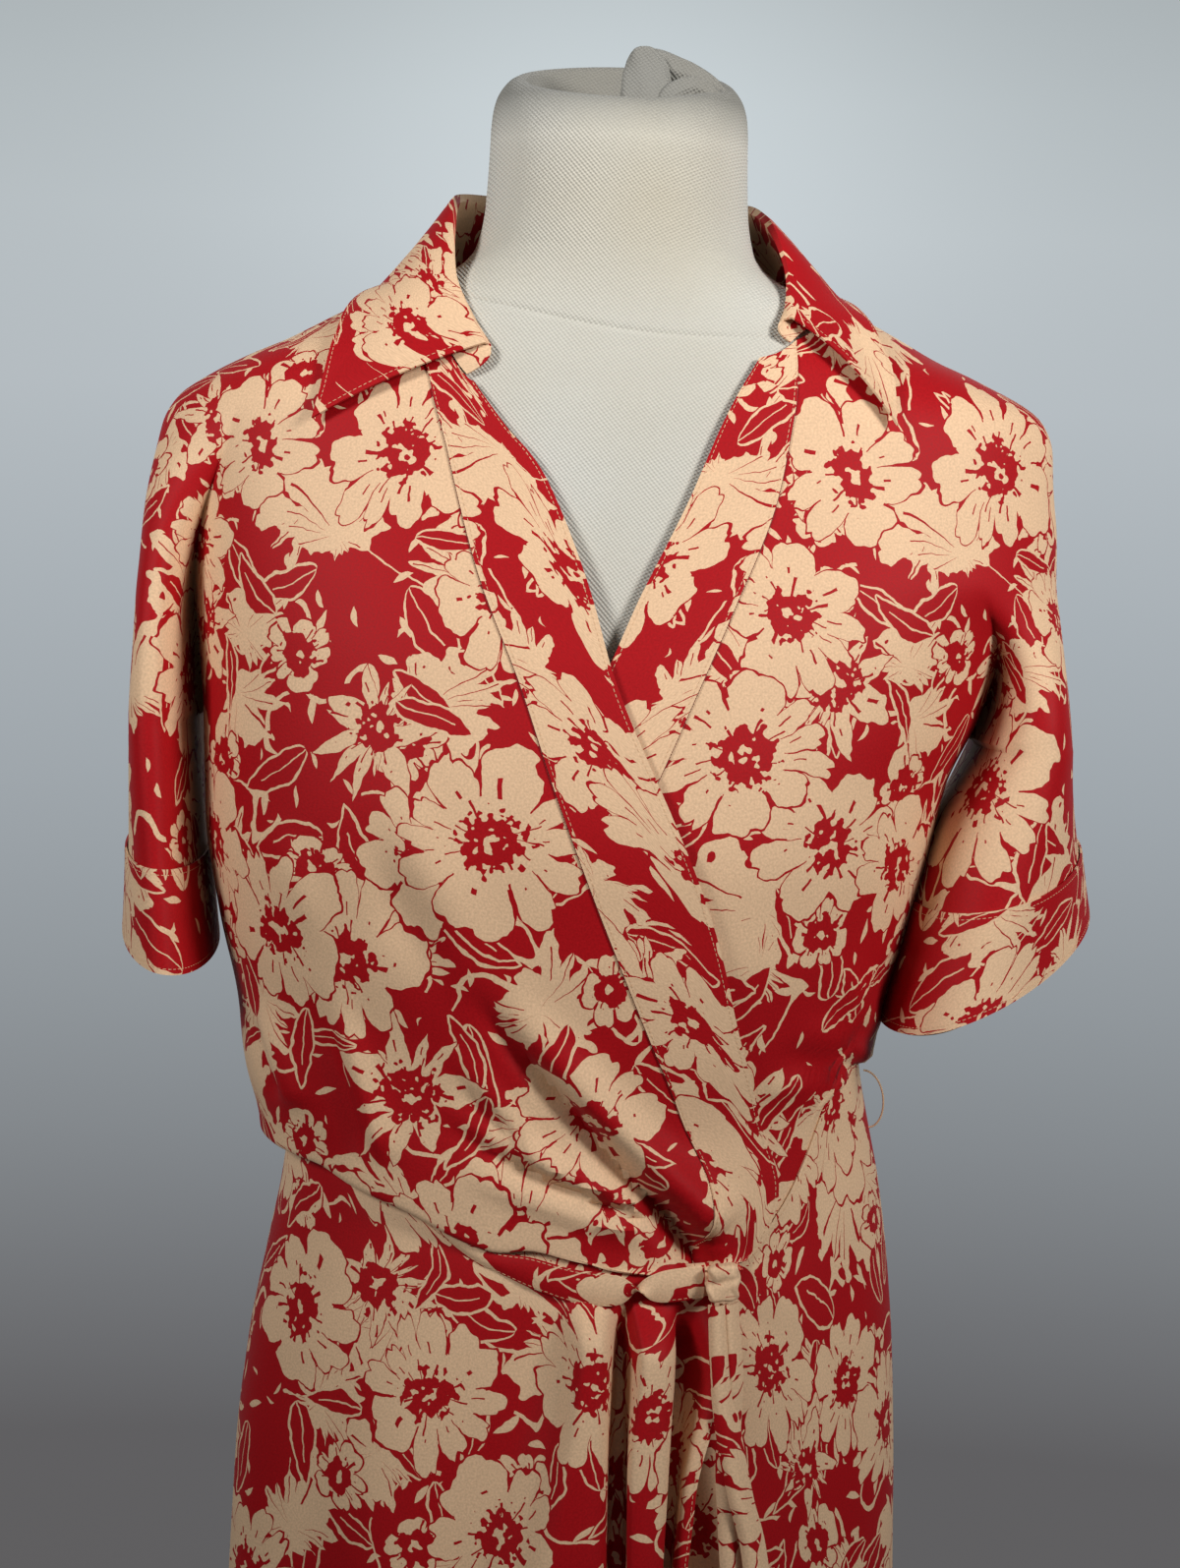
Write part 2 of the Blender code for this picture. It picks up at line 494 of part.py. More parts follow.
def side_piece(side, start, waist, over, front=True):
    """A front, or half of the back: yoke above the underarm, then the body and the sleeve's half apart.

    Columns run from the inner edge (the band seam or the centre back) to the side and on to the overarm.
    start gives the inner edge's angle by height, and waist the waist seam's height by angle.
    """
    half = 90.0 * side
    columns = BODY_COLUMNS + SLEEVE_COLUMNS
    s = np.arange(columns + 1) / columns
    body_share = np.minimum(s * columns / BODY_COLUMNS, 1)
    sleeve_turn = np.clip((s * columns - BODY_COLUMNS) / SLEEVE_COLUMNS, 0, 1) * 180 * (1 if front else -1)

    # yoke: rows from the neckline to the underarm, angles and radii going over from whole to parted
    down = np.linspace(0, 1, YOKE_ROWS + 1)[:, None] ** YOKE_CROWDING
    top = start(crossing(start, neck_height))
    neck = neck_height(top + (half - top) * s)
    height = neck + (UNDERARM_HEIGHT - neck) * down
    inner_edge = start(height)
    whole_angle = inner_edge + (half - inner_edge) * s
    whole_radius = body_radius(whole_angle, height, over, YOKE_EASE)
    split_angle = inner_edge + (half - inner_edge) * body_share
    split_radius = body_radius(split_angle, height, over)
    ring_point = sleeve_point(side, 0.0, sleeve_turn)
    fork_x = ring_point[BODY_COLUMNS, 0]
    reach = (ring_point[:, 0] - fork_x) / (ring_point[-1, 0] - fork_x)
    inside = cloth_radius(half, height, BODY_EASE) + 0.004
    tube_x = side * (inside + (cloth_radius(half, height, YOKE_EASE) - inside) * reach)
    tube_y = ring_point[:, 1] + 0 * height
    is_sleeve = np.arange(columns + 1) > BODY_COLUMNS
    split_angle = np.where(is_sleeve, np.degrees(np.arctan2(tube_x, -tube_y)), split_angle)
    split_radius = np.where(is_sleeve, np.hypot(tube_x, tube_y), split_radius)
    split_radius[:, BODY_COLUMNS] += 0.002
    blend = crotch_blend(side, height)
    yoke = placed(whole_angle * (1 - blend) + split_angle * blend,
                  whole_radius * (1 - blend) + split_radius * blend, height)

    fall = np.linspace(0, 1, BODY_ROWS + 1)[1:, None]
    body = body_rows(side, lambda height, share: start(height) + (half - start(height)) * share,
                     np.arange(BODY_COLUMNS + 1) / BODY_COLUMNS, waist, over, front, fall)
    sleeve = sleeve_point(side, np.array(SLEEVE_ROWS)[:, None], sleeve_turn[BODY_COLUMNS:])
    return yoke, body, sleeve


def body_rows(side, angle_at, share, waist, over, front, fall):
    """Rows from below the underarm to the overhang's lowest ring, and in to the waist seam.

    angle_at gives the angle of a column by height and by share across the piece.
    """
    at_waist = [crossing(lambda height, one=one: angle_at(height, one), waist) for one in share]
    waist_angle = np.array([angle_at(height, one) for height, one in zip(at_waist, share)])
    seam = waist(waist_angle)
    swell, droop = [column(OVERHANG, waist_angle, k) for k in (1, 2)]
    if front and not over:
        shown = smooth((waist_angle - 40) / 20)
        swell, droop = swell * shown, droop * shown
    above, dip, inset, taper = OVERHANG_ROWS[0]
    low = seam + above - dip * droop
    height = UNDERARM_HEIGHT + (low - UNDERARM_HEIGHT) * fall
    angle = angle_at(height, share)
    rows = [placed(angle, body_radius(angle, height, over) + swell * smooth((fall - 0.6) / 0.33), height)]
    last = body_radius(waist_angle, low, over)
    lifted = SEAM_LIFT * smooth((waist_angle - OVER_SIDE) / OVER_RAMP) if over else 0
    seam_radius = skirt_radius(waist_angle, seam) + lifted
    hanging = smooth(droop / 0.008)
    for above, dip, inset, taper in OVERHANG_ROWS[1:]:
        plain = (last + swell) * (1 - taper) + seam_radius * taper
        radius = plain * (1 - hanging) + (last + swell - inset * droop) * hanging
        rows.append(placed(waist_angle, radius, seam + above - dip * droop)[None])
    rows.append(placed(waist_angle, seam_radius, seam)[None])
    return np.concatenate(rows)


def branch(name, yoke, body, sleeve):
    """One sheet of three grids: body and sleeve hang from the two parts of the yoke's last row."""
    rows, columns = yoke.shape[:2]
    yoke_index = np.arange(rows * columns).reshape(rows, columns)
    used = rows * columns
    body_index = used + np.arange(body.shape[0] * body.shape[1]).reshape(body.shape[:2])
    used += body_index.size
    sleeve_index = used + np.arange(sleeve.shape[0] * sleeve.shape[1]).reshape(sleeve.shape[:2])
    body_index = np.concatenate([yoke_index[-1:, :BODY_COLUMNS + 1], body_index])
    sleeve_index = np.concatenate([yoke_index[-1:, BODY_COLUMNS:], sleeve_index])
    points = np.concatenate([part.reshape(-1, 3) for part in (yoke, body, sleeve)])
    faces = np.concatenate([quads(index) for index in (yoke_index, body_index, sleeve_index)])
    sheet = Sheet(name, points, faces)
    sheet.parts = (yoke_index, body_index, sleeve_index)
    return sheet


def neck_height(angle):
    """The neckline's height at an angle."""
    return column(NECKLINE, np.abs(signed(angle)), 1)


def waist_height(angle):
    """The waist seam's height at an angle, for the under front, the back and their skirts."""
    return column(WAIST_SEAM, signed(angle), 1)


def over_waist_height(angle):
    """The same for the over front and its skirt."""
    return waist_height(np.minimum(signed(angle), OVER_SEAM_END))


def bodice():
    """The back, the two fronts and their bands, with shared normals along the seams."""
    sheets = {}
    fronts = (("right_front", -1, OVER_EDGE, over_waist_height, True),
              ("left_front", 1, UNDER_EDGE, waist_height, False))
    for name, side, table, waist, over in fronts:
        parts = side_piece(side, lambda height, table=table: column(table, height, 2), waist, over)
        sheets[name] = branch(name, *parts)
        sheets[name + "_band"] = band(name + "_band", side, table, waist, over, parts)
    halves = []
    for side in (-1, 1):
        def centre(height, side=side):
            return 180.0 * side + 0 * height

        halves.append(side_piece(side, centre, waist_height, False, front=False))
    sheets["back_bodice"] = joined_back(halves)
    return sheets


def band(name, side, table, waist, over, parts):
    """A front's band: two columns from the front's inner edge, whose points it shares, to the free edge."""
    share = np.linspace(0, 1, 3)

    def angle_at(height, share):
        seam, edge = column(table, height, 2), column(table, height, 1)
        return seam + (edge - seam) * share

    down = np.linspace(0, 1, YOKE_ROWS + 1)[:, None] ** YOKE_CROWDING
    neck = np.array([crossing(lambda height, one=one: angle_at(height, one), neck_height) for one in share])
    height = neck + (UNDERARM_HEIGHT - neck) * down
    angle, blend = angle_at(height, share), crotch_blend(side, height)
    whole, split = [body_radius(angle, height, over, ease) for ease in (YOKE_EASE, BODY_EASE)]
    radius = whole * (1 - blend) + split * blend
    fall = np.linspace(0, 1, BODY_ROWS + 1)[1:, None]
    points = np.concatenate([placed(angle, radius, height),
                             body_rows(side, angle_at, share, waist, over, True, fall)])
    points[:, 0] = np.concatenate([parts[0][:, 0], parts[1][:, 0]])
    return Sheet.grid(name, points)


def joined_back(halves):
    """The back as one sheet: the two halves share their centre column."""
    (yoke_l, body_l, sleeve_l), (yoke_r, body_r, sleeve_r) = halves
    left = branch("back_bodice", yoke_l, body_l, sleeve_l)
    right = branch("back_bodice", yoke_r, body_r, sleeve_r)
    points = np.concatenate([left.points, right.points])
    faces = np.concatenate([left.faces, right.faces + len(left.points)])
    centre_l = np.concatenate([left.parts[0][:, 0], left.parts[1][1:, 0]])
    centre_r = np.concatenate([right.parts[0][:, 0], right.parts[1][1:, 0]]) + len(left.points)
    renumber = np.arange(len(points))
    renumber[centre_r] = centre_l
    kept = np.setdiff1d(np.arange(len(points)), centre_r)
    place = np.zeros(len(points), int)
    place[kept] = np.arange(len(kept))
    sheet = Sheet("back_bodice", points[kept], place[renumber[faces]])
    offset = len(left.points)
    sheet.parts = [tuple(place[renumber[index + move]] for index in parts)
                   for parts, move in ((left.parts, 0), (right.parts, offset))]
    return sheet


def ease_seams(sheets):
    """Opens half a seam gap on each side of every seam of the bodice."""
    for name in ("right_front", "left_front"):
        yoke, body, sleeve = sheets[name].parts
        piece = sheets[name]
        edge, next_in = [np.concatenate([yoke[:, k], body[1:, k]]) for k in (0, 1)]
        piece.pull_in(edge, next_in)
        open_sides(piece, yoke, body, sleeve)
        band = sheets[name + "_band"]
        rows = np.arange(len(band.points) // 3) * 3
        band.pull_in(rows, rows + 1)
    for parts in sheets["back_bodice"].parts:
        open_sides(sheets["back_bodice"], *parts)


def open_sides(piece, yoke, body, sleeve):
    """Pulls in the shoulder and overarm seam, the side seam and the underarm seam."""
    edge, next_in = [np.concatenate([yoke[:, k], sleeve[1:, k]]) for k in (-1, -2)]
    piece.pull_in(edge, next_in)
    piece.pull_in(body[1:, -1], body[1:, -2])
    piece.pull_in(sleeve[1:, 0], sleeve[1:, 1])
    away = (piece.points[yoke[-1, BODY_COLUMNS - 1]] + piece.points[yoke[-1, BODY_COLUMNS + 1]]) / 2
    fork = yoke[-1, BODY_COLUMNS]
    piece.points[fork] += (away - piece.points[fork]) * SEAM_GAP / np.linalg.norm(away - piece.points[fork])


# ========================================================================================== other pieces
def cuff(name, side):
    """A ring round the sleeve's end, on the sleeve's own rows and columns."""
    share = np.array(SLEEVE_ROWS[-CUFF_ROWS:])[:, None]
    turn = np.arange(SLEEVE_COLUMNS * 2) * 180 / SLEEVE_COLUMNS
    points = sleeve_point(side, share, turn)
    sheet = Sheet.grid(name, points, closed=True)
    from_axis = sheet.points[sheet.faces].mean(axis=1) - points[-1].mean(axis=0)
    if (face_normals(sheet.points, sheet.faces) * from_axis).sum() < 0:
        sheet.faces = sheet.faces[:, TURN_OVER]
        sheet.normals = sheet.summed()
    return sheet


def clear_of_bodice(points, clearance):
    """Moves points that are closer to the bodice's yoke than clearance straight out from it."""
    for _ in range(4):
        angle = np.degrees(np.arctan2(points[..., 0], -points[..., 1]))
        height = np.clip(points[..., 2], 1.20, 1.44)
        radius = cloth_radius(angle, height, YOKE_EASE)
        above, below = [cloth_radius(angle, height + step, YOKE_EASE) for step in (STEP, -STEP)]
        slope = (above - below) / (2 * STEP)
        long = np.sqrt(1 + slope ** 2)
        away = (np.hypot(points[..., 0], points[..., 1]) - radius) / long
        push = np.maximum(clearance - away, 0) / long
        points = points + placed(angle, push, -slope * push)
    return points


def collar():
    """Stand and fall in one grid: columns run from the neck seam up to the roll and down to the edge."""
    stations = COLLAR_STATIONS[::-1]
    angle = np.linspace(stations[0, 0], stations[-1, 0], COLLAR_COLUMNS + 1)
    roll = np.stack([column(stations, angle, k) for k in (1, 2, 3)], axis=-1)
    edge = np.stack([column(stations, angle, k) for k in (4, 5, 6)], axis=-1)
    bow_out, bow_up = [column(stations, angle, k)[:, None] for k in (7, 8)]
    seam_height = neck_height(angle)
    seam = placed(angle, cloth_radius(angle, seam_height, YOKE_EASE), seam_height + COLLAR_LIFT)
    outward = placed(angle, 1.0, 0 * angle)
    rows = []
    for t in np.linspace(0, 1, STAND_STEPS + 1)[:-1]:
        rows.append(seam * (1 - t) + (roll - outward * 0.003) * t)
    bow = roll * 0.55 + edge * 0.45 + outward * bow_out + bow_up * (0, 0, 1)
    for t in np.linspace(0, 1, FALL_STEPS + 1):
        fall = roll * (1 - t) ** 2 + 2 * bow * t * (1 - t) + edge * t ** 2
        rows.append(clear_of_bodice(fall, COLLAR_CLEAR) if t > 0.3 else fall)
    return Sheet.grid("collar", np.array(rows))


def hem_waves(angle, height):
    """Soft folds that grow from the hip to the hem."""
    grow = smooth((0.93 - height) / 0.62)
    total = np.zeros(np.broadcast(angle, height).shape)
    for middle, rise, width in HEM_WAVES:
        away = signed(angle - middle)
        total += rise * np.exp(-(away / width) ** 2)
    return total * grow


def skirt_grid(angle, out, waist, top_drop=0.0):
    """A skirt panel's rows from its upper edge, which is tucked in behind the bodice, to the hem.

    angle is a function of the share down, and out one of share down, angle and height.
    """
    down = (np.linspace(0, 1, SKIRT_ROWS + 1)[:, None]) ** 1.25
    reach, inset = SEAM_TUCK
    top = waist(angle(0 * down)[:1]) + reach - top_drop
    height = top + (HEM_HEIGHT - top) * down
    now = angle(down)
    radius = skirt_radius(now, height) - inset * smooth(1 - down * 20) + out(down, now, height)
    return placed(now, radius, height)


def skirts():
    """Back, under front and over front. The over front is pleated and doubles back to its free edge."""
    share = np.linspace(0, 1, 2 * BODY_COLUMNS + 1)
    back = skirt_grid(lambda down: 90 + 180 * share + 0 * down,
                      lambda down, now, height: hem_waves(now, height), waist_height)
    edge_start, seam_start = [
        column(UNDER_EDGE, crossing(lambda height: column(UNDER_EDGE, height, k), waist_height), k)
        for k in (1, 2)]
    at_waist = np.concatenate([np.linspace(edge_start, seam_start, 3)[:-1],
                               np.linspace(seam_start, 90, BODY_COLUMNS + 1)])

    def under_angle(down):
        from_side = (90 - at_waist) / (90 - at_waist[0])
        return at_waist + (UNDER_SKIRT_HEM_EDGE - at_waist[0]) * from_side * down

    def under_out(down, now, height):
        return hem_waves(now, height) * smooth((now - 45) / 15)

    under = skirt_grid(under_angle, under_out, waist_height)
    share_over = over_shares()

    def over_angle(down):
        low = smooth(down * 1.6)
        return column(CASCADE, share_over, 1) * (1 - low) + column(CASCADE, share_over, 2) * low

    def over_out(down, now, height):
        low = smooth(down * 1.5)
        return column(CASCADE, share_over, 3) * (1 - low) + column(CASCADE, share_over, 4) * low

    over = skirt_grid(over_angle, over_out, over_waist_height, column(CASCADE, share_over, 5))
    made = {"back_skirt": back, "left_front_skirt": under, "right_front_skirt": over}
    sheets = {name: Sheet.grid(name, points) for name, points in made.items()}
    share_normals(list(sheets.values()))
    for name, sheet in sheets.items():
        index = np.arange(len(sheet.points)).reshape(SKIRT_ROWS + 1, -1)
        if name != "left_front_skirt":
            sheet.pull_in(index[:, 0], index[:, 1])
        if name != "right_front_skirt":
            sheet.pull_in(index[:, -1], index[:, -2])
    return sheets


def over_shares():
    """Columns of the over skirt: one at each named row of the cascade and evenly between them."""
    shares = CASCADE[:, 0]
    steps = np.maximum(1, np.round(np.diff(shares) * OVER_SKIRT_COLUMNS)).astype(int)
    parts = [np.linspace(a, b, n + 1)[:-1] for a, b, n in zip(shares[:-1], shares[1:], steps)]
    return np.concatenate(parts + [[1.0]])


def tie():
    """The strap: a flat band that follows the waist, its middle on the route and its width up and down."""
    angle = np.linspace(TIE_ROUTE[0, 0], TIE_ROUTE[-1, 0], TIE_COLUMNS + 1)
    height, out, width = [column(TIE_ROUTE, angle, k) for k in (1, 2, 3)]
    rows = []
    for share in (-0.5, 0.0, 0.5):
        level = height + share * width
        radius = skirt_radius(signed(angle), height) + out + (0.0006 if share == 0 else 0)
        rows.append(placed(angle, radius, level))
    return Sheet.grid("waist_tie", np.array(rows))


def tail(name, rows):
    """A hanging tie end: a flat band down a route of x, y, z and width."""
    share = np.linspace(0, 1, 11)
    at = np.linspace(0, 1, len(rows))
    x, y, z, width = [curve(share, at, rows[:, k]) for k in range(4)]
    middle = np.stack([x, y, z], axis=-1)
    across = np.stack([width / 2, 0.25 * width, 0 * width], axis=-1)
    return Sheet.grid(name, np.array([middle - across, middle, middle + across]).transpose(1, 0, 2))


def cap_fan(ring_index, centre):
    """Three-cornered faces from a ring of points to a centre point."""
    return [(a, b, centre) for a, b in zip(ring_index, np.roll(ring_index, -1))]


def turned(name, rings, low_centre, high_centre, finish, flat_angle=40):
    """A closed solid of rings from the lowest to the highest, with fans to two centre points."""
    rings = np.asarray(rings)
    rows, columns = rings.shape[:2]
    index = np.arange(rows * columns).reshape(rows, columns)
    points = np.concatenate([rings.reshape(-1, 3), [low_centre, high_centre]])
    faces = [tuple(face) for face in quads(index, closed=True)]
    faces += cap_fan(index[0][::-1], rows * columns)
    faces += cap_fan(index[-1], rows * columns + 1)
    return put(name, points, faces, finish, flat_angle)


def neck_seam(angle):
    """Height of the jersey cover's seam round the base of the neck."""
    turn = np.radians(angle)
    return NECK_SEAM_HEIGHT - NECK_SEAM_SLOPE * np.cos(turn) - NECK_SEAM_LEAN * np.sin(turn)


def form(finish):
    """The torso and the neck: the same turned sections, parted at the neck seam."""
    angle = np.arange(FORM_COLUMNS) * 360 / FORM_COLUMNS
    rings = [placed(angle, form_radius(angle, level), level) for level in FORM_LEVELS]
    seam = neck_seam(angle)
    for share in SHOULDER_SHARES:
        height = FORM_LEVELS[-1] + (seam - FORM_LEVELS[-1]) * share
        rings.append(placed(angle, form_radius(angle, height), height))
    bottom = rings[0] * (0.9, 0.9, 0) + (0, 0, FORM_BOTTOM)
    middle = float(seam.mean())
    turned("form_torso", [bottom] + rings, (0, 0, FORM_BOTTOM), (0, 0, middle), finish)

    seam = neck_seam(angle) + TOUCH_GAP
    rim = CAP_HEIGHT - CAP_TILT * np.cos(np.radians(angle))
    side_top = rim - CAP_PROFILE[0, 1]
    levels = [seam + (side_top - seam) * share for share in NECK_SHARES]
    rings = [placed(angle, form_radius(angle, level), level) for level in levels]
    edge = form_radius(angle, side_top)
    for share, drop in CAP_PROFILE:
        tilt = CAP_HEIGHT - CAP_TILT * np.cos(np.radians(angle)) * share
        rings.append(placed(angle, edge * share, tilt - drop))
    turned("form_neck", rings, (0, 0, middle + TOUCH_GAP), (0, 0, CAP_HEIGHT - CAP_HOLLOW), finish)


def cap_height(x, y):
    """The top of the neck at a point of its plan."""
    angle = np.degrees(np.arctan2(x, -y))
    radius = form_radius(angle, CAP_HEIGHT)
    share = np.hypot(x, y) / radius
    return CAP_HEIGHT + CAP_TILT * y / radius - column(CAP_PROFILE[::-1], share, 1)


def twist(finish):
    """The end of the jersey cover, tucked in at the right of the cap and standing up as a folded fan."""
    share = np.linspace(0, 1, 9)
    x, middle_y = [start + run * share for start, run in zip(TWIST_START, TWIST_RUN)]
    depth = TWIST_DEPTH + 0.005 * np.sin(np.pi * share)
    under = [cap_height(x + dx, middle_y + depth * dy) for dx in (-0.005, 0, 0.005) for dy in (-1, 0, 1)]
    low = np.max(under, axis=0) - 0.0001
    high = np.maximum(TWIST_HEIGHT - 0.004 * share - 0.015 * share ** 2, low + TWIST_LEAST)
    turn = np.radians(np.arange(10) * 36)[:, None]
    lean = 0.004 * np.sin(turn) * (high - low) / 0.03
    rings = np.stack([x + lean, middle_y + depth * np.cos(turn),
                      (high + low) / 2 + (high - low) / 2 * np.sin(turn)], axis=-1).transpose(1, 0, 2)
    turned("neck_twist", rings, rings[0].mean(axis=0), rings[-1].mean(axis=0), finish, 60)


def disc(name, profile, finish, sides=40):
    """A turned solid of a profile of (radius, height) from the axis at the bottom to the axis at the top."""
    angle = np.arange(sides) * 360 / sides
    rings = [placed(angle, radius, height) for radius, height in profile]
    return turned(name, rings, (0, 0, profile[0][1]), (0, 0, profile[-1][1]), finish)


def stand(cream, steel):
    """Base with its collar, pole, and the plate under the torso, one on the other."""
    base, thick, hub, hub_top = BASE_RADIUS, BASE_THICKNESS, BASE_COLLAR_RADIUS, BASE_COLLAR_HEIGHT + 0.001
    disc("stand_base", [(base - 0.002, 0.0), (base, 0.002), (base, thick - 0.004), (base - 0.004, thick),
                        (hub + 0.006, thick + 0.003), (hub, thick + 0.009), (hub - 0.004, hub_top - 0.001),
                        (hub - 0.006, hub_top)], steel, 48)
    top = FORM_BOTTOM - TOUCH_GAP
    low = top - PLATE_THICKNESS
    disc("stand_pole", [(POLE_RADIUS, hub_top + TOUCH_GAP), (POLE_RADIUS, low - TOUCH_GAP)], steel, 24)
    plate = PLATE_RADIUS
    disc("stand_plate", [(plate - 0.002, low), (plate, low + 0.002), (plate, top - 0.001),
                         (plate - 0.001, top)], cream, 32)


def knot(finish):
    """The knot: a rounded block, the band wound round itself."""
    rows, sides = 7, 14
    rings = []
    for k in range(rows):
        level = -1 + 2 * (k + 0.5) / rows
        swell = (1 - abs(level) ** 4) ** 0.25
        turn = np.radians(np.arange(sides) * 360 / sides)
        x = KNOT_HALF[0] * swell * np.sign(np.cos(turn)) * np.abs(np.cos(turn)) ** 0.7
        y = KNOT_HALF[1] * swell * np.sign(np.sin(turn)) * np.abs(np.sin(turn)) ** 0.7
        rings.append(np.stack([x, y, 0 * x + KNOT_HALF[2] * level], axis=-1) + KNOT_CENTRE)
    low = np.array(KNOT_CENTRE) - (0, 0, KNOT_HALF[2])
    high = np.array(KNOT_CENTRE) + (0, 0, KNOT_HALF[2])
    turned("tie_knot", rings, low, high, finish, 60)


def loop(finish):
    """A thread loop that stands out of the side seam: a thin bent tube, closed at both ends."""
    top, low = LOOP_HEIGHTS
    steps, sides = 12, 6
    t = np.linspace(0, np.pi, steps + 1)
    height = (top + low) / 2 + (top - low) / 2 * np.cos(t)
    x = skirt_radius(90.0, height) - LOOP_SET_IN + LOOP_REACH * np.sin(t)
    path = np.stack([x, 0 * x + LOOP_Y, height], axis=-1)
    ahead = np.gradient(path, axis=0)
    ahead /= np.linalg.norm(ahead, axis=1, keepdims=True)
    side = np.array([0, 1.0, 0])
    other = np.cross(ahead, side)
    turn = np.arange(sides) * 2 * np.pi / sides
    round_it = np.cos(turn)[:, None] * side + np.sin(turn)[None, :, None] * other[:, None]
    rings = path[:, None] + LOOP_RADIUS * round_it
    turned("side_loop", rings, path[0], path[-1], finish, 60)


# ========================================================================================== the whole
def main():
    for thing in list(bpy.data.objects):
        bpy.data.objects.remove(thing, do_unlink=True)
    print_cloth = material("print_crepe", (0.59, 0.27, 0.155), 0.75)
    jersey = material("jersey_cover", (0.75, 0.72, 0.61), 0.90)
    cream = material("stand_plate_paint", (0.75, 0.72, 0.66), 0.50)
    steel = material("stand_paint", (0.80, 0.78, 0.74), 0.40)

    sheets = bodice()
    share_normals(list(sheets.values()))
    ease_seams(sheets)
    for sheet in sheets.values():
        sheet.build(print_cloth)
    for name, side in (("right_cuff", -1), ("left_cuff", 1)):
        cuff(name, side).build(print_cloth, lift=CUFF_STEP)
    collar().build(print_cloth)
    for sheet in skirts().values():
        sheet.build(print_cloth)
    tie().build(print_cloth)
    for name, rows in TAILS.items():
        tail(name, rows).build(print_cloth)
    knot(print_cloth)
    loop(print_cloth)
    form(jersey)
    twist(jersey)
    stand(cream, steel)


main()
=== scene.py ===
"""Wrap dress with kimono sleeves, a shirt collar and a tie on a limbless dress form: cloth, print and studio.

Metres, +Z up, the origin on the floor under the pole. The dress faces -Y, and the wearer's right is at -X.
Angles round the body are in degrees: 0 at the centre front, +90 at the wearer's left side, 180 at the back.
"""

import bmesh
import bpy
import numpy as np
from mathutils import Matrix, Vector


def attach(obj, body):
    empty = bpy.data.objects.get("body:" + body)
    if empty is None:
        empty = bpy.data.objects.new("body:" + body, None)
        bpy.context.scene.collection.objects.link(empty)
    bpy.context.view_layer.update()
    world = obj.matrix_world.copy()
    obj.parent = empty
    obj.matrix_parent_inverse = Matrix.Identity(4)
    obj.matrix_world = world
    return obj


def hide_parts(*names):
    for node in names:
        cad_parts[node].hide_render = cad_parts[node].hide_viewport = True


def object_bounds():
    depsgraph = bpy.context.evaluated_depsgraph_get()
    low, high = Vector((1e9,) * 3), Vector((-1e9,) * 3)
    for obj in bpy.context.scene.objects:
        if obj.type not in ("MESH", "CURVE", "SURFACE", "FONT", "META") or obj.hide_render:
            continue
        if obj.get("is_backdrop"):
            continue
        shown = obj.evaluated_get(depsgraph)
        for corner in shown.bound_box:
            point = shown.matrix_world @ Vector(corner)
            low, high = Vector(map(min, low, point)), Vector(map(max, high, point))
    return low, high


bl_info = {
    "name": "Wrap Dress on a Dress Form",
    "version": (1, 0, 0),
    "blender": (4, 5, 0),
    "location": "3D View > Sidebar > Wrap Dress",
    "description": "Builds a wrap dress on a limbless dress form, with its stand and a plain studio",
    "category": "Add Mesh",
}

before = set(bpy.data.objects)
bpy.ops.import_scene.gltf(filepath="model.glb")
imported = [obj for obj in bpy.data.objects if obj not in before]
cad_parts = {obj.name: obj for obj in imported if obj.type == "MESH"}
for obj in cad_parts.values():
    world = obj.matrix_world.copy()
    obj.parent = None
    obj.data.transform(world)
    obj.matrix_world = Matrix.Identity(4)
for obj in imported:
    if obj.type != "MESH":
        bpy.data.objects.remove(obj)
CAD_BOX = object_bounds()


def table(text):
    """The numbers of a table: a line that names the columns, then a line for each row."""
    return np.array([row.split() for row in text.splitlines()[1:]], float)


# ---- cloth sizes
LAYER = 0.0028           # from the under front to the over front, middle to middle
SQUARENESS = 2.2         # power of the rounded sections of body and dress
HEM_HEIGHT = 0.310
UNDERARM_HEIGHT = 1.215
SHOULDER_REST = 0.0019   # the cloth's middle above the form on the shoulders
CLOTH_REST = (0.0010, 0.0010, 0.0016, 0.0016)   # and outside it at its left, right, front and back

# ---- the form
FORM_SECTIONS = table("""height, half_width, front, back
    .745 .126 .082 .098
    .76 .14 .096 .112
    .82 .15 .106 .122
    .88 .1495 .104 .117
    .95 .138 .097 .102
    1.03 .1205 .089 .086
    1.06 .123 .093 .086
    1.12 .137 .109 .093
    1.19 .155 .124 .102
    1.24 .169 .119 .108
    1.28 .181 .109 .111
    1.32 .191 .097 .109
    1.35 .193 .089 .102
    1.366 .189 .0845 .0965
    1.375 .1815 .0815 .0925
    1.383 .17 .079 .09
    1.393 .1505 .0755 .0865
    1.403 .132 .0722 .083
    1.413 .1117 .0692 .0795
    1.421 .092 .0672 .0762
    1.427 .08 .066 .0735
    1.433 .0715 .065 .0705
    1.44 .0665 .064 .0675
    1.46 .0625 .062 .0635
    1.5 .061 .0605 .061
    1.56 .0605 .06 .0605""")
FORM_BOTTOM = 0.743
FORM_LEVELS = table("""heights of the torso's rings
    .745 .75 .76 .785 .82 .86 .9 .945 .99 1.03 1.07 1.11
    1.15 1.19 1.225 1.26 1.29 1.318 1.34 1.354 1.365 1.374 1.382 1.39""").ravel()
FORM_COLUMNS, NECK_COLUMNS = 160, 360
NECK_SEAM_HEIGHT, NECK_SEAM_SLOPE, NECK_SEAM_LEAN = 1.416, 0.016, 0.009
CAP_HEIGHT, CAP_TILT = 1.5210, 0.0185
CAP_PROFILE = table("""share_of_radius, drop
    1 .024
    .99 .017
    .965 .0105
    .92 .0055
    .86 .0018
    .8 .0002
    .76 0
    .72 .0012
    .68 .007
    .63 .016
    .55 .023
    .45 .0265
    .25 .028""")
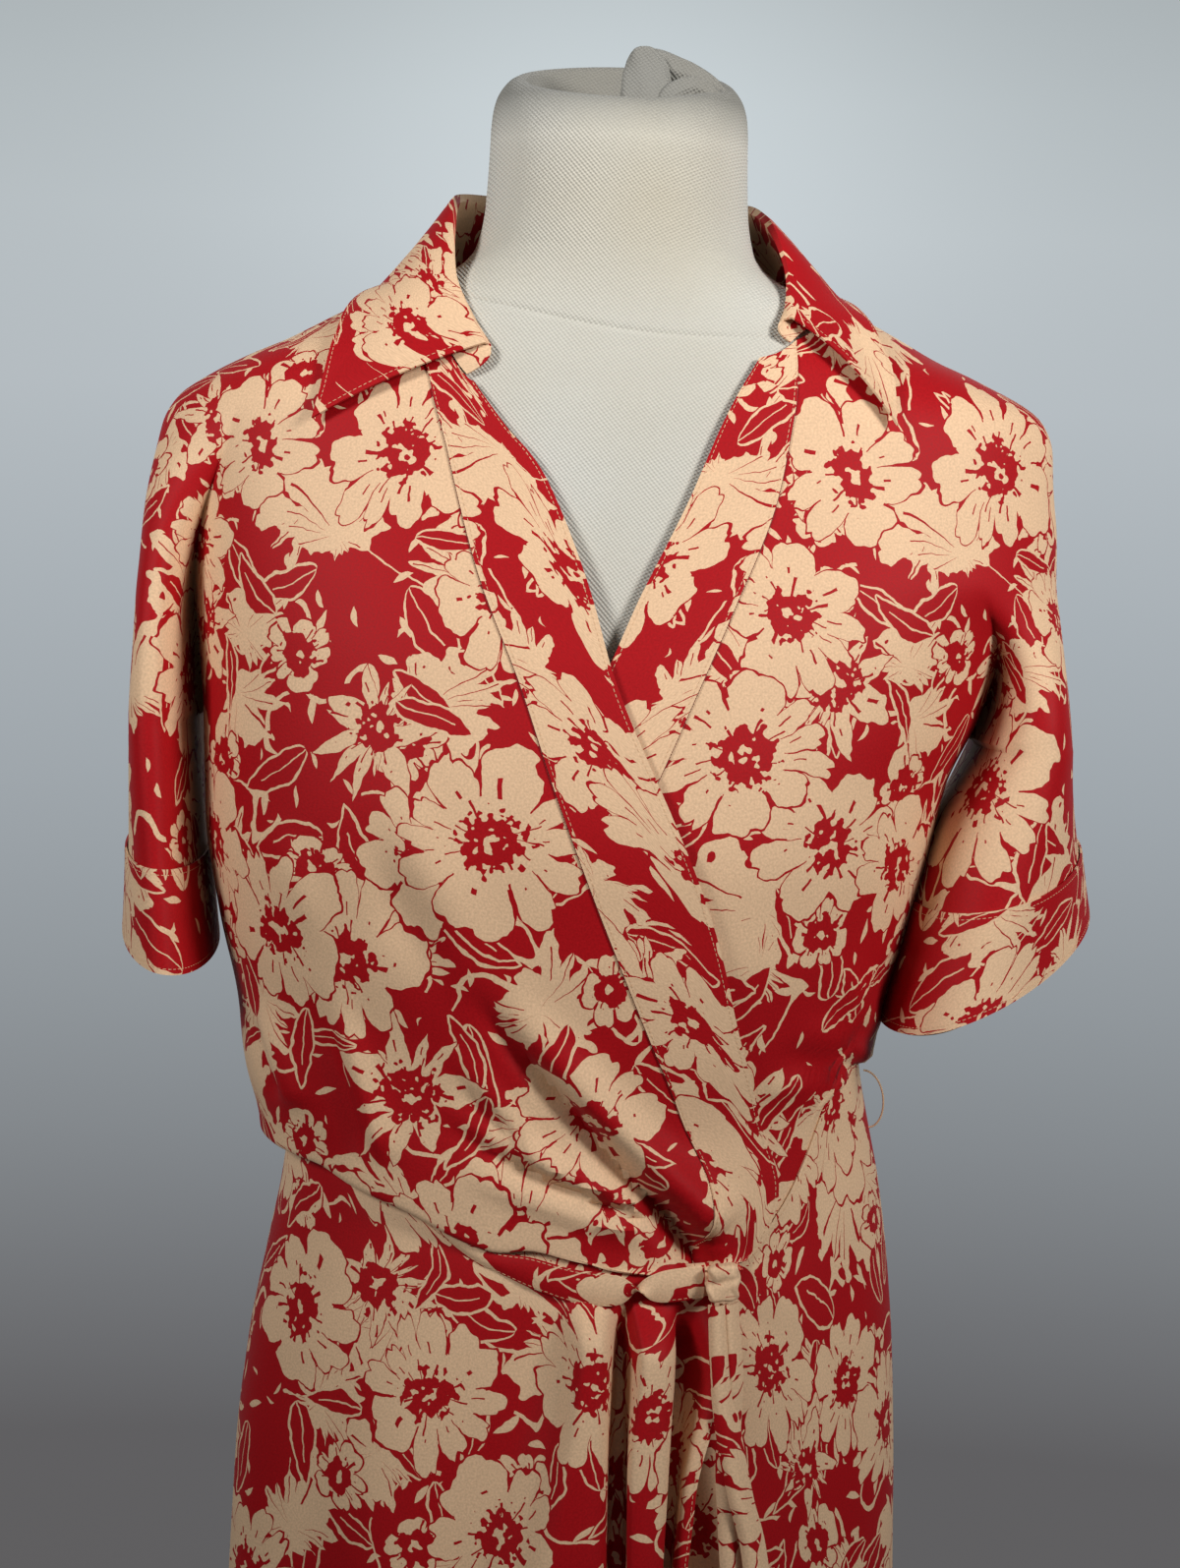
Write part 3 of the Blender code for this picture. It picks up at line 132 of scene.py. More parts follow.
TORSO_ROWS, NECK_ROWS, CAP_ROWS = (110, 26), 80, 70
TUCK_PLACE = (0.0165, 1.5010)     # x and z of the tuck on the neck's front rim
TUCK_DROP = (16.0, 9.0, 0.0030)   # angle and width of the dip in the rim, and its depth
GATHERS = (13, 0.0005, 0.015)     # number in a full circle round the tuck, height and reach
NECK_FURROW = (0.0007, 0.0012)    # depth and width of the furrow along the neck seam
RIM_SHADE = (1.488, 0.022, 0.56)   # painted shade on the cover's top: darker from this height, over this much, by this share
TWIST_ROLLS = (  # the rolled folds of the cover's tucked end
    table("""x, y, z, half width, half depth
    .0092 -.03 1.488 .01 .004
    .0106 -.027 1.502 .0112 .0044
    .0114 -.023 1.513 .0118 .0046
    .011 -.018 1.5225 .0108 .0044
    .0092 -.014 1.53 .0078 .0038
    .0072 -.012 1.5348 .004 .003"""),
    table("""x, y, z, half width, half depth
    .009 -.012 1.5315 .0045 .0045
    .019 -.01 1.5272 .0068 .0065
    .031 -.008 1.522 .0076 .0085
    .042 -.008 1.515 .0074 .0085
    .049 -.01 1.5055 .0064 .007
    .051 -.011 1.493 .0035 .0045"""),
    table("""x, y, z, half width, half depth
    .0175 -.027 1.503 .0045 .0045
    .024 -.024 1.5115 .0058 .0055
    .033 -.021 1.515 .006 .0062
    .0425 -.019 1.5105 .0056 .006
    .0485 -.017 1.502 .0045 .005
    .05 -.015 1.493 .0025 .003"""),
)
ROLL_CREASES = 0.05
WARM_SPOT_AND_HOLLOW_SHADE = (((0.020, -0.060, 1.460), 0.060), ((0.000, 0.012, 1.488), 0.042))   # warmer, darker spots, place and reach: one on the neck's front, and painted shade in the cap's hollow

# ---- the bodice
YOKE_EASE = table("""height, left, right, front, back: the cloth outside the form, sleeve heads included
    1.18 .0695 .077 .007 .0085
    1.221 .0575 .06 .0055 .0065
    1.269 .0412 .04 .003 .004
    1.31 .028 .026 .0015 .0015
    1.338 .0215 .0195 .0008 .0008
    1.364 .015 .0165 .0003 .0003
    1.373 .0085 .012 0 0
    1.381 .004 .0055 0 0
    1.392 0 0 0 0""")
BODY_EASE = table("""height, left, right, front, back: the same for the body alone, under the arms
    .98 .019 .017 .011 .008
    1.014 .025 .019 .0165 .009
    1.049 .035 .0148 .0205 .011
    1.073 .0395 .0146 .0225 .0125
    1.101 .042 .0148 .0205 .0125
    1.15 .04 .014 .0145 .011
    1.193 .032 .0115 .0078 .0095
    1.227 .0245 .0165 .0055 .006
    1.29 .015 .013 .0022 .0025
    1.36 .006 .005 .0003 .0003
    1.392 0 0 0 0""")
NECKLINE = table("""angle, height: the seam of the collar, much the same on both sides
    30 1.38
    38 1.386
    50 1.397
    60 1.406
    75 1.419
    90 1.427
    125 1.431
    180 1.432""")
NECK_DIPS = ((-37.0, 9.0, 0.0130), (47.0, 6.0, 0.0030))   # angle, width and depth
OVER_EDGE = table("""height, edge_angle, seam_angle: the over front's band, from the waist up
    .974 36 27
    .987 41.6 28.5
    1.009 44.8 28.5
    1.047 38.3 21
    1.086 30.5 12
    1.136 22.7 2.2
    1.184 13.9 -6
    1.243 2.8 -16.2
    1.282 -3.1 -25.5
    1.328 -15 -36
    1.342 -21 -38.8
    1.3495 -25.6 -40.4
    1.3635 -32.6 -43.7
    1.3745 -38 -46.5
    1.4 -48 -56""")
UNDER_EDGE = table("""height, edge_angle, seam_angle: the under front's band
    .985 -58 -38
    1.03 -47 -29
    1.06 -38 -19
    1.1 -28 -9
    1.15 -17 2
    1.201 -8 11.8
    1.245 1 20.5
    1.278 7.9 28
    1.322 20.2 38.5
    1.363 31.8 45.2
    1.392 43.5 50.6
    1.405 49.5 54""")
WAIST_SEAM = table("""angle, height
    -180 1.04
    -130 1.04
    -90 1.034
    -72 1.031
    -57 1.029
    -49 1.0215
    -36 1.011
    -28 1.002
    -18 .993
    -11 .989
    0 .98
    10 .9745
    21 .973
    36 .9745
    46 .9985
    53 1.022
    61 1.052
    71 1.06
    90 1.054
    130 1.042
    180 1.04""")
OVER_SEAM_END = 33.0     # beyond this angle the over front's waist seam runs on level
OVERHANG = table("""angle, out, droop: how far the bodice swells and hangs over its waist seam
    -180 .005 .008
    -130 .007 .012
    -90 .0085 .0185
    -57 .0092 .0187
    -36 .0088 .0173
    -20 .0076 .0145
    -11 .0055 .008
    0 .004 .004
    10 .003 .0015
    30 .001 0
    42 -.0022 0
    66 -.002 0
    80 0 0
    110 .0015 .002
    150 .0045 .006
    180 .005 .008""")
OVERHANG_ROWS = table("""above_seam, droop_share, inset_share, taper: the last rows down to the seam
    .004 .75 0 0
    .0025 1 .06 .33
    .0012 .5 .22 .67""")
SEAM_LIFT = 0.0060       # from the under front's waist seam to the over front's
EDGE_PROUD = 0.0012      # the skirt's upper edge above the bodice where it lies over it
EDGE_OVER = (34.0, 78.0, 8.0)    # the angles between which it does, and how soon
EDGE_STITCHED = (33.0, 80.0)     # the angles between which it is stitched there
UNDER_SHOWN = (40.0, 20.0)       # angle from which the under front's overhang shows, and how soon
SWELL_FALL = (0.6, 0.33)         # where down the body the overhang starts to swell, and how soon it is full
HANGING_DROOP = 0.008            # droop from which the cloth turns in under itself
SEAM_TUCK = (0.0030, 0.0030)   # how far the skirts' upper edges reach up behind the bodice, and inside it
TUCK_FADE = 20                 # they are out again after one part in this many of the panel's length
FOLDS = {  # rows of start_x, start_z, end_x, end_z, bend, rise, width, fade_in, fade_out, seen from the front
    "right_front": table("""
        -.052 1.118 .066 .992 .002 .0105 .009 .6 .06
        -.058 1.106 .06 .978 .002 -.011 .0044 .45 .04
        .034 1.014 .061 .972 .003 -.012 .0058 .5 .05
        -.064 1.082 -.008 1.01 0 .0046 .0055 .5 .3
        -.062 1.068 -.006 1.004 0 -.0034 .0036 .5 .3
        -.072 1.052 .036 1.002 .003 .0046 .005 .45 .15
        -.07 1.043 .04 .994 .003 -.0046 .0028 .4 .15
        -.062 1.022 .034 .99 .002 .0036 .0042 .4 .15
        -.118 1.105 -.088 1.015 0 .0044 .006 .4 .2
        -.126 1.1 -.098 1.012 0 -.0036 .0045 .4 .2
        -.152 1.086 -.132 1.035 0 .004 .0065 .4 .2
        -.16 1.08 -.142 1.036 0 -.003 .0045 .4 .2
        -.15 1.18 -.12 1.11 0 .003 .011 .5 .5
        -.095 1.2 -.04 1.095 0 .0036 .013 .5 .5
        -.11 1.185 -.055 1.08 0 -.0024 .01 .5 .5"""),
    "left_front": table("""
        -.095 1.13 .06 .974 0 -.014 .024 .4 .03
        .136 1.052 .074 1.058 .002 .0034 .005 .2 .4
        .136 1.06 .092 1.09 .002 .0036 .006 .2 .5
        .136 1.056 .08 1.076 .002 -.0026 .004 .2 .5
        .136 1.07 .112 1.118 .002 .0036 .0065 .2 .5"""),
    "back_bodice": table("""
        -.09 1.05 -.06 1.16 0 .004 .009 .2 .5
        -.04 1.05 -.03 1.13 0 .0036 .008 .2 .5
        .03 1.05 .026 1.15 0 .0036 .008 .2 .5
        .09 1.05 .06 1.15 0 .004 .009 .2 .5"""),
}
OVER_SIDE, OVER_RAMP = -90.0, 32.0     # where the over front starts to stand off the layer below, in degrees
OVER_TOP, OVER_TOP_RAMP = 1.335, 0.06  # and up to which height it does
BODY_COLUMNS, SLEEVE_COLUMNS = 64, 40
YOKE_ROWS, BODY_ROWS, TURN_ROWS = 70, 56, 4
BAND_COLUMNS = 12
SEAM_SHADE_PITCH, SEAM_SHADE_LENGTH = 0.0013, 0.0012   # a nearly unbroken dark line of thread in the well of a seam: thread, and painted shadow of the well
BAND_PROUD = 0.0009       # the doubled band above the front that it is sewn to
YOKE_CROWDING = 1.35                   # rows crowd towards the neckline
YOKE_SPAN = (1.20, 1.44)               # the heights between which the yoke's surface is looked up
SLEEVE_ROWS = 40

# ---- the sleeves
FOLD_TOP = {-1: 1.366, 1: 1.290}      # where the fold between chest and sleeve begins, by side
FOLD_POWER = 0.75                     # below 1 the fold opens sooner
SLEEVE_GAP, FORK_OUT = 0.004, 0.002   # from the body to the sleeve's inner side, and the seam between them
SLEEVE_RINGS = {                      # by side
    -1: table("""share, height, inner, outer, middle_y, depth, turn, front_dip, outer_rise
        0 1.215 .1945 .2215 0 .07 0 0 0
        .5 1.164 .1905 .2238 0 .072 3 .004 .002
        1 1.107 .183 .2255 -.002 .074 6 .01 .004"""),
    1: table("""the same on the wearer's left
        0 1.215 .185 .225 0 .07 0 0 0
        .5 1.166 .159 .2325 -.002 .076 8 .01 .006
        1 1.108 .143 .2385 -.006 .08 16 .022 .019"""),
}
SLEEVE_ROUND = (0.77, 1.08)   # at the underarm and at the hem: 1 for an ellipse, less for a fuller ring
CUFF_START, CUFF_ROWS = 0.62, 16   # where on the sleeve the turned-back cuff begins
CUFF_STEP = 0.0017       # from the sleeve to the cuff, middle to middle


# ---- the collar
COLLAR_STATIONS = table("""angle, roll_x, roll_y, roll_z, edge_x, edge_y, edge_z, bow_out, bow_up
    -39 -.0575 -.079 1.3905 -.1345 -.08 1.354 .007 .003
    -47 -.064 -.07 1.402 -.1325 -.075 1.364 .006 .003
    -62 -.074 -.05 1.426 -.1267 -.06 1.385 .004 .002
    -90 -.0775 -.008 1.463 -.1125 0 1.4165 .002 -.004
    -125 -.06 .047 1.47 -.083 .059 1.419 .004 0
    -180 0 .076 1.471 0 .099 1.411 .006 0
    -235 .06 .047 1.47 .08 .057 1.42 .006 0
    -270 .0715 -.008 1.459 .0985 0 1.4205 .0075 0
    -296 .081 -.042 1.427 .1205 -.045 1.4015 .006 0
    -303 .0812 -.054 1.4175 .1262 -.063 1.381 .006 .003
    -310 .081 -.0665 1.4075 .13 -.08 1.36 .008 .005""")
COLLAR_COLUMNS = 130
STAND_STEPS, FALL_STEPS = 12, 30
STAND_LOBE = (0.0045, 7.0)   # how far the stand's front ends bulge inwards, and over how many degrees
ROLL_INSET, BOW_SHARE = 0.003, 0.45      # the stand's top inside the roll, and where the fall's bow is set
COLLAR_LIFT = 0.0016     # the collar's seam edge above the neck edges that it is sewn to
COLLAR_CLEAR = 0.0042    # from the bodice to the fall, middle to middle, where the fall rests
FALL_RESTS = 0.3         # share of the way down the fall from which it can rest
STEP = 0.0005            # half a step for slopes

# ---- the skirt
SKIRT_SECTIONS = table("""height, left, right, front, back
    .31 .205 .202 .148 .156
    .5 .183 .181 .132 .142
    .7 .166 .164 .119 .131
    .8 .161 .159 .115 .127
    .86 .1611 .1575 .1135 .1225
    .916 .1575 .1545 .111 .114
    .96 .1505 .15 .1085 .105
    1 .144 .1438 .1065 .098
    1.03 .142 .1375 .1065 .0965
    1.062 .15 .1345 .11 .0985""")
CASCADE = table("""share, top_angle, low_angle, deep_angle, top_out, low_out, top_drop: to the free edge
    0 -90 -90 -90 0 0 0
    .14 -72 -71 -70 .0032 .012 .001
    .26 -52 -52 -53 .0059 .003 .0025
    .36 -34 -35 -38 .0059 .01 .0025
    .46 -18 -19 -24 .0059 .0035 .0025
    .55 -3 -4.5 -13 .0059 .012 .0025
    .585 2 1 -3.5 .0059 .023 .0025
    .605 4.4 4 2 .0059 .0225 .0025
    .62 6 6.2 6.5 .0059 .019 .0025
    .635 7.4 7.2 7.7 .0059 .011 .0025
    .65 9 8.2 8.6 .0059 0 .0025
    .665 10.4 10 10.5 .0059 -.004 .0025
    .68 11.4 12.2 12.6 .0059 -.004 .0025
    .69 11.8 12.6 13 .0059 .002 .0025
    .7 12.1 11.6 12.2 .0059 .011 .0025
    .715 12.5 10.9 11.6 .0059 .019 .0025
    .728 13 11.3 12 .0059 .0225 .0025
    .745 13.8 13 13.6 .0059 .0235 .0025
    .79 17 17.2 16.6 .0059 .022 .0025
    .815 18.8 18.6 17.6 .0059 .019 .0025
    .835 20.2 19.3 18.2 .0059 .014 .0025
    .855 21.6 20 18.9 .0059 .006 .0025
    .875 22.8 21 20 .0059 -.003 .003
    .893 24 22.8 21.6 .006 -.0065 .004
    .913 25.3 25 23 .0063 -.006 .0052
    .93 26.3 25.6 23.4 .0067 -.004 .006
    .945 27 24.3 21.9 .0072 .005 .0066
    .96 27.7 23 20.5 .008 .013 .0074
    .98 28.7 23.9 21.3 .0093 .0165 .0088
    1 29.6 24.9 22.2 .0105 .017 .01""")
PLEAT_START, PLEAT_OUT = 0.012, 0.042   # share down where the pleats open, and how much lower they are full
SOFT_OUT, PLEATS_FROM = 0.40, (0.48, 0.08)   # the same for the soft folds, and where across they end
PLEAT_TURN, PLEAT_DEEP = (0.048, 0.090), (0.090, 0.160)   # the same for low_angle and for deep_angle
UNDER_TROUGHS = ((24.0, 8.0, 0.0085), (10.5, 5.0, 0.0065))   # the under skirt's hollows: angle, width, depth
UNDER_FLARE = (45.0, 15.0)       # angle from which the under skirt has the hem's folds, and how soon
SKIRT_CROWDING = 1.25            # rows crowd towards the waist
WAVES_FROM, WAVES_FULL = 0.93, 0.62   # height where the hem's folds start, and how much lower they are full
OVER_SKIRT_COLUMNS, UNDER_SKIRT_COLUMNS, BACK_SKIRT_COLUMNS, SKIRT_ROWS = 280, 100, 140, 150
UNDER_SKIRT_HEM_EDGE = -42.0     # angle of its hidden edge at the hem
HEM_WAVES = table("""angle, height, width: soft flare folds, full at the hem
    -165 .016 11
    -130 .014 10
    -105 .012 9
    58 .014 9
    80 .012 9
    104 .014 9
    135 .016 11
    165 .012 9""")

# ---- tie and loop
TIE_ROUTE = table("""angle, height, out, width: the strap's middle, from the left side round the back
    108 1.0355 .0046 .015
    122 1.031 .0044 .015
    140 1.023 .0042 .015
    180 1.019 .0042 .015
    220 1.017 .0042 .014
    250 1.018 .0048 .01
    270 1.02 .005 .008
    288 1.018 .0056 .008
    303 1.015 .0062 .008
    324 .997 .0064 .008
    340 .9776 .0063 .008
    350 .9732 .0083 .0138
    360 .9685 .0098 .015
    369 .9675 .0104 .015
    378 .9695 .0108 .015
    386.55 .9718 .0112 .015""")
TIE_COLUMNS, TIE_ROWS = 320, 12
TIE_TWIST = (369.5, 7.0)  # the angle where the strap starts to turn over, and how far on it has
TIE_PINCH = (372.8, 3.4, 0.45)   # angle, width and share left of the strap's width where it turns over
TWIST_DEPTH = 0.8        # share of its half width that it then stands in and out
KNOT_CENTRE = (0.0650, -0.1175, 0.9728)
KNOT_HALF = (0.0073, 0.0042, 0.0083)
KNOT_FULLNESS = (0.35, 0.6)    # across and ahead: 1 for an ellipse, less for a squarer ring
KNOT_TURNS = (0.0012, 0.0016, 0.0006)   # depth and width of the groove between its turns, and its unevenness
KNOT_PRINT = (0.174, 1.0559)   # the print's own zero point, as x and z, for the knot
TAIL_PRINT = (-0.1295, -0.109)   # where on the print the tails' upper left corners are cut
TAILS = {  # rows of x, y, z, width, from the knot down
    "tie_tail_long": table("""
        .063 -.118 .963 .0085
        .066 -.1205 .928 .0098
        .0712 -.1215 .898 .0112
        .0768 -.1215 .874 .011
        .0835 -.12 .85 .011
        .089 -.122 .8 .014
        .09 -.124 .74 .018
        .091 -.125 .7 .018"""),
    "tie_tail_short": table("""
        .068 -.115 .963 .008
        .0712 -.1165 .925 .009
        .0702 -.1168 .895 .0105
        .073 -.1165 .862 .012
        .079 -.115 .81 .014"""),
}
TAIL_ROWS, TAIL_COLUMNS = 60, 13
TAIL_BOW = 0.0042        # how far a tail's middle stands in front of its edges
TAIL_SLANT = 0.25        # how far its edges stand before and behind, as a share of its width
STRAP_BOW = (0.0012, 0.0004)     # how far the strap's middle stands out, and how far its edges lie in
LOOP_HEIGHTS = (1.0520, 1.0240)
LOOP_Y, LOOP_SET_IN, LOOP_REACH, LOOP_RADIUS, LOOP_SIDES = -0.012, 0.0007, 0.0090, 0.00045, 10

# ---- the cut
CUTS = {  # name: width, length, area of the flat cut, how it is held and what it rests on
    "back_bodice": (0.82, 0.50, 0.249, "draped", "form_torso"),
    "right_front": (0.52, 0.50, 0.134, "draped", "left_front"),
    "left_front": (0.51, 0.49, 0.117, "draped", "form_torso"),
    "right_front_band": (0.053, 0.48, 0.0185, "draped", "left_front"),
    "left_front_band": (0.047, 0.45, 0.0160, "draped", "form_torso"),
    "collar": (0.54, 0.105, 0.041, "folded", "back_bodice"),
    "right_cuff": (0.34, 0.050, 0.0142, "folded", "right_front"),
    "left_cuff": (0.41, 0.059, 0.0170, "folded", "left_front"),
    "back_skirt": (0.62, 0.75, 0.368, "hung", "back_bodice"),
    "right_front_skirt": (0.45, 0.74, 0.272, "hung", "right_front"),
    "left_front_skirt": (0.42, 0.76, 0.247, "hung", "left_front"),
    "waist_tie": (0.65, 0.015, 0.0078, "draped", "back_skirt"),
    "tie_tail_long": (0.022, 0.265, 0.0044, "hung", "tie_knot"),
    "tie_tail_short": (0.018, 0.155, 0.0022, "hung", "tie_knot"),
}

# ---- the stand
PLATE_RADIUS, PLATE_THICKNESS = 0.060, 0.006
POLE_RADIUS = 0.0125
BASE_RADIUS, BASE_THICKNESS = 0.190, 0.014
BASE_COLLAR_RADIUS, BASE_COLLAR_HEIGHT = 0.026, 0.045
TOUCH_GAP = 0.0003

# ---- the camera
CAMERA_PLACE = (-0.003, -1.350, 1.3037)
CAMERA_PITCH, CAMERA_ROLL = 5.0, 2.05    # degrees down, and round the line of sight
WORLD_SPAN = (-0.40, 0.20)               # the sine of the height angle, from the first stop to the last
WORLD_STOPS = table("""place, red, green, blue
    0 .108 .106 .106
    .083 .116 .113 .116
    .15 .117 .115 .12
    .23 .168 .174 .184
    .32 .232 .249 .266
    .4 .282 .308 .33
    .52 .348 .383 .412
    .637 .403 .443 .474
    .75 .458 .5 .53
    .85 .468 .512 .536
    .92 .44 .484 .504
    1 .392 .432 .448""")
WORLD_GLOW = ((0.0, 0.150), (0.120, 0.100), 0.34)   # its middle and reach aside and up, and its strength
WORLD_BACKDROP = (0.45, 0.85)            # depth of a direction where the bright backdrop starts and is full
FLOOR_LIFT = 0.35                        # how much paler the floor looks than its light makes it
FLOOR_RINGS, FLOOR_HEIGHT = (0.01, 0.5, 1.0, 1.6), -0.0005
FLOOR_EDGE = (1.55, 0.9)                 # radius where the floor has faded out, and over how much
WORLD_REST = 0.27                        # brightness of the other directions, as a share of the backdrop's
LIGHTS = (  # name, place, aim, size, spread in degrees, share of the key's power
    ("key", (1.35, -1.25, 2.05), (0.02, 0.0, 1.54), 0.60, 65.0, 1.0),
    ("fill", (-1.35, -1.25, 2.05), (-0.02, 0.0, 1.54), 0.60, 65.0, 0.72),
    ("rear", (0.2, 2.2, 2.4), (0.0, 0.0, 1.1), 1.6, 180.0, 1.10),
)


# ---- curves and rings
def curve(x, knots, values):
    """Smooth curve through the knots that doesn't overshoot them: cubic pieces with limited slopes."""
    knots, values = np.asarray(knots, float), np.asarray(values, float)
    step = np.diff(knots)
    rise = np.diff(values) / step
    slope = np.zeros(len(knots))
    near, far = 2 * step[1:] + step[:-1], step[1:] + 2 * step[:-1]
    same = rise[:-1] * rise[1:] > 0
    with np.errstate(divide="ignore", invalid="ignore"):
        mean = (near + far) / (near / rise[:-1] + far / rise[1:])
    slope[1:-1] = np.where(same, mean, 0)
    slope[0], slope[-1] = rise[0], rise[-1]
    k = np.clip(np.searchsorted(knots, x, side="right") - 1, 0, len(step) - 1)
    t = np.clip((x - knots[k]) / step[k], 0, 1)
    return ((1 + 2 * t) * (1 - t) ** 2 * values[k] + t * (1 - t) ** 2 * step[k] * slope[k]
            + t ** 2 * (3 - 2 * t) * values[k + 1] + t ** 2 * (t - 1) * step[k] * slope[k + 1])


def column(rows, x, index):
    """One column of a table, read as a curve of its first column."""
    return curve(x, rows[:, 0], rows[:, index])


def smooth(x):
    """0 below 0, 1 above 1, an even S between."""
    x = np.clip(x, 0, 1)
    return x * x * (3 - 2 * x)


def ring(angle, left, right, front, back):
    """The radius of a rounded section at an angle in degrees."""
    turn = np.radians(angle)
    across, ahead = np.sin(turn), np.cos(turn)
    width = np.where(across < 0, left, right)
    depth = np.where(ahead > 0, front, back)
    power = SQUARENESS
    return ((np.abs(ahead) / depth) ** power + (np.abs(across) / width) ** power) ** (-1 / power)


def placed(angle, radius, height):
    """Points at an angle, a distance from the axis and a height."""
    turn = np.radians(angle)
    angle, radius, height = np.broadcast_arrays(turn, radius, height)
    return np.stack([radius * np.sin(turn), -radius * np.cos(turn), height], axis=-1)


def columns(rows, x, *indices):
    """Several columns of a table, read as curves of its first column."""
    return [curve(x, rows[:, 0], rows[:, index]) for index in indices]


def form_radius(angle, height):
    """The form's radius at an angle and a height."""
    return ring(angle, *columns(FORM_SECTIONS, height, 1, 1, 2, 3))


def cloth_radius(angle, height, ease):
    """The radius of cloth that lies on the form raised by SHOULDER_REST, with an ease table added."""
    sides = zip(columns(FORM_SECTIONS, height - SHOULDER_REST, 1, 1, 2, 3), CLOTH_REST,
                columns(ease, height, 1, 2, 3, 4))
    return ring(angle, *[form + rest + added for form, rest, added in sides])


def skirt_radius(angle, height):
    """The skirt's radius before its folds."""
    return ring(angle, *columns(SKIRT_SECTIONS, height, 1, 2, 3, 4))


def signed(angle):
    """The same angle between -180 and 180."""
    return (angle + 180) % 360 - 180


# ---- meshes
def around(count):
    """Angles of a closed ring of points, in degrees."""
    return np.arange(count) * 360 / count


def together(parts):
    """The points and faces of several parts as one mesh."""
    starts = np.cumsum([0] + [len(points) for points, _ in parts])
    return (np.concatenate([points for points, _ in parts]),
            np.concatenate([faces + start for (_, faces), start in zip(parts, starts)]))


def put(name, points, faces, flat, finish, slot="print_crepe", stands_for=(), flat_angle=50):
    """A named object of points, four-cornered faces and flat coordinates for each point.

    It rides on the frame's one body and takes the place of its CAD nodes.
    """
    mesh = bpy.data.meshes.new(name)
    mesh.vertices.add(len(points))
    mesh.vertices.foreach_set("co", np.asarray(points, np.float32).ravel())
    mesh.loops.add(faces.size)
    mesh.polygons.add(len(faces))
    mesh.loops.foreach_set("vertex_index", faces.astype(np.int32).ravel())
    mesh.polygons.foreach_set("loop_start", np.arange(len(faces), dtype=np.int32) * faces.shape[1])
    mesh.update(calc_edges=True)
    if flat is not None:
        layer = mesh.uv_layers.new(name="cut")
        layer.uv.foreach_set("vector", flat[faces.ravel()].astype(np.float32).ravel())
    mesh.validate()
    mesh.shade_smooth()
    mesh.set_sharp_from_angle(angle=np.radians(flat_angle))
    mesh.materials.append(finish)
    piece = bpy.data.objects.new(name, mesh)
    bpy.context.scene.collection.objects.link(piece)
    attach(piece, "root")
    if stands_for:
        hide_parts(*stands_for)
    return piece


def quads(index):
    """The four-cornered faces between neighbours in a grid of point numbers."""
    return np.stack([index[:-1, :-1], index[:-1, 1:], index[1:, 1:], index[1:, :-1]], axis=-1).reshape(-1, 4)


def face_normals(points, faces):
    """One normal for each face, as long as twice its area."""
    corner = points[faces]
    return np.cross(corner[:, 2] - corner[:, 0], corner[:, 3] - corner[:, 1])


def through(rows, count):
    """Rows that pass smoothly through the given rows, count to each step between two of them.

    Cubic pieces whose slope at a row is half the way from the row before to the row after. The first and the
    last given row only set the slopes.
    """
    rows = np.asarray(rows)
    made = []
    for before, start, end, after in zip(rows[:-3], rows[1:-2], rows[2:-1], rows[3:]):
        for t in np.arange(1, count + 1) / count:
            square = (2 * before - 5 * start + 4 * end - after) * t ** 2
            cube = (3 * start - before - 3 * end + after) * t ** 3
            made.append(0.5 * (2 * start + (end - before) * t + square + cube))
    return np.array(made)


def run_lengths(points, axis):
    """Length along a grid's rows or columns from the first point on."""
    steps = np.linalg.norm(np.diff(points, axis=axis), axis=-1)
    first = np.zeros_like(np.take(steps, [0], axis=axis))
    return np.concatenate([first, np.cumsum(steps, axis=axis)], axis=axis)


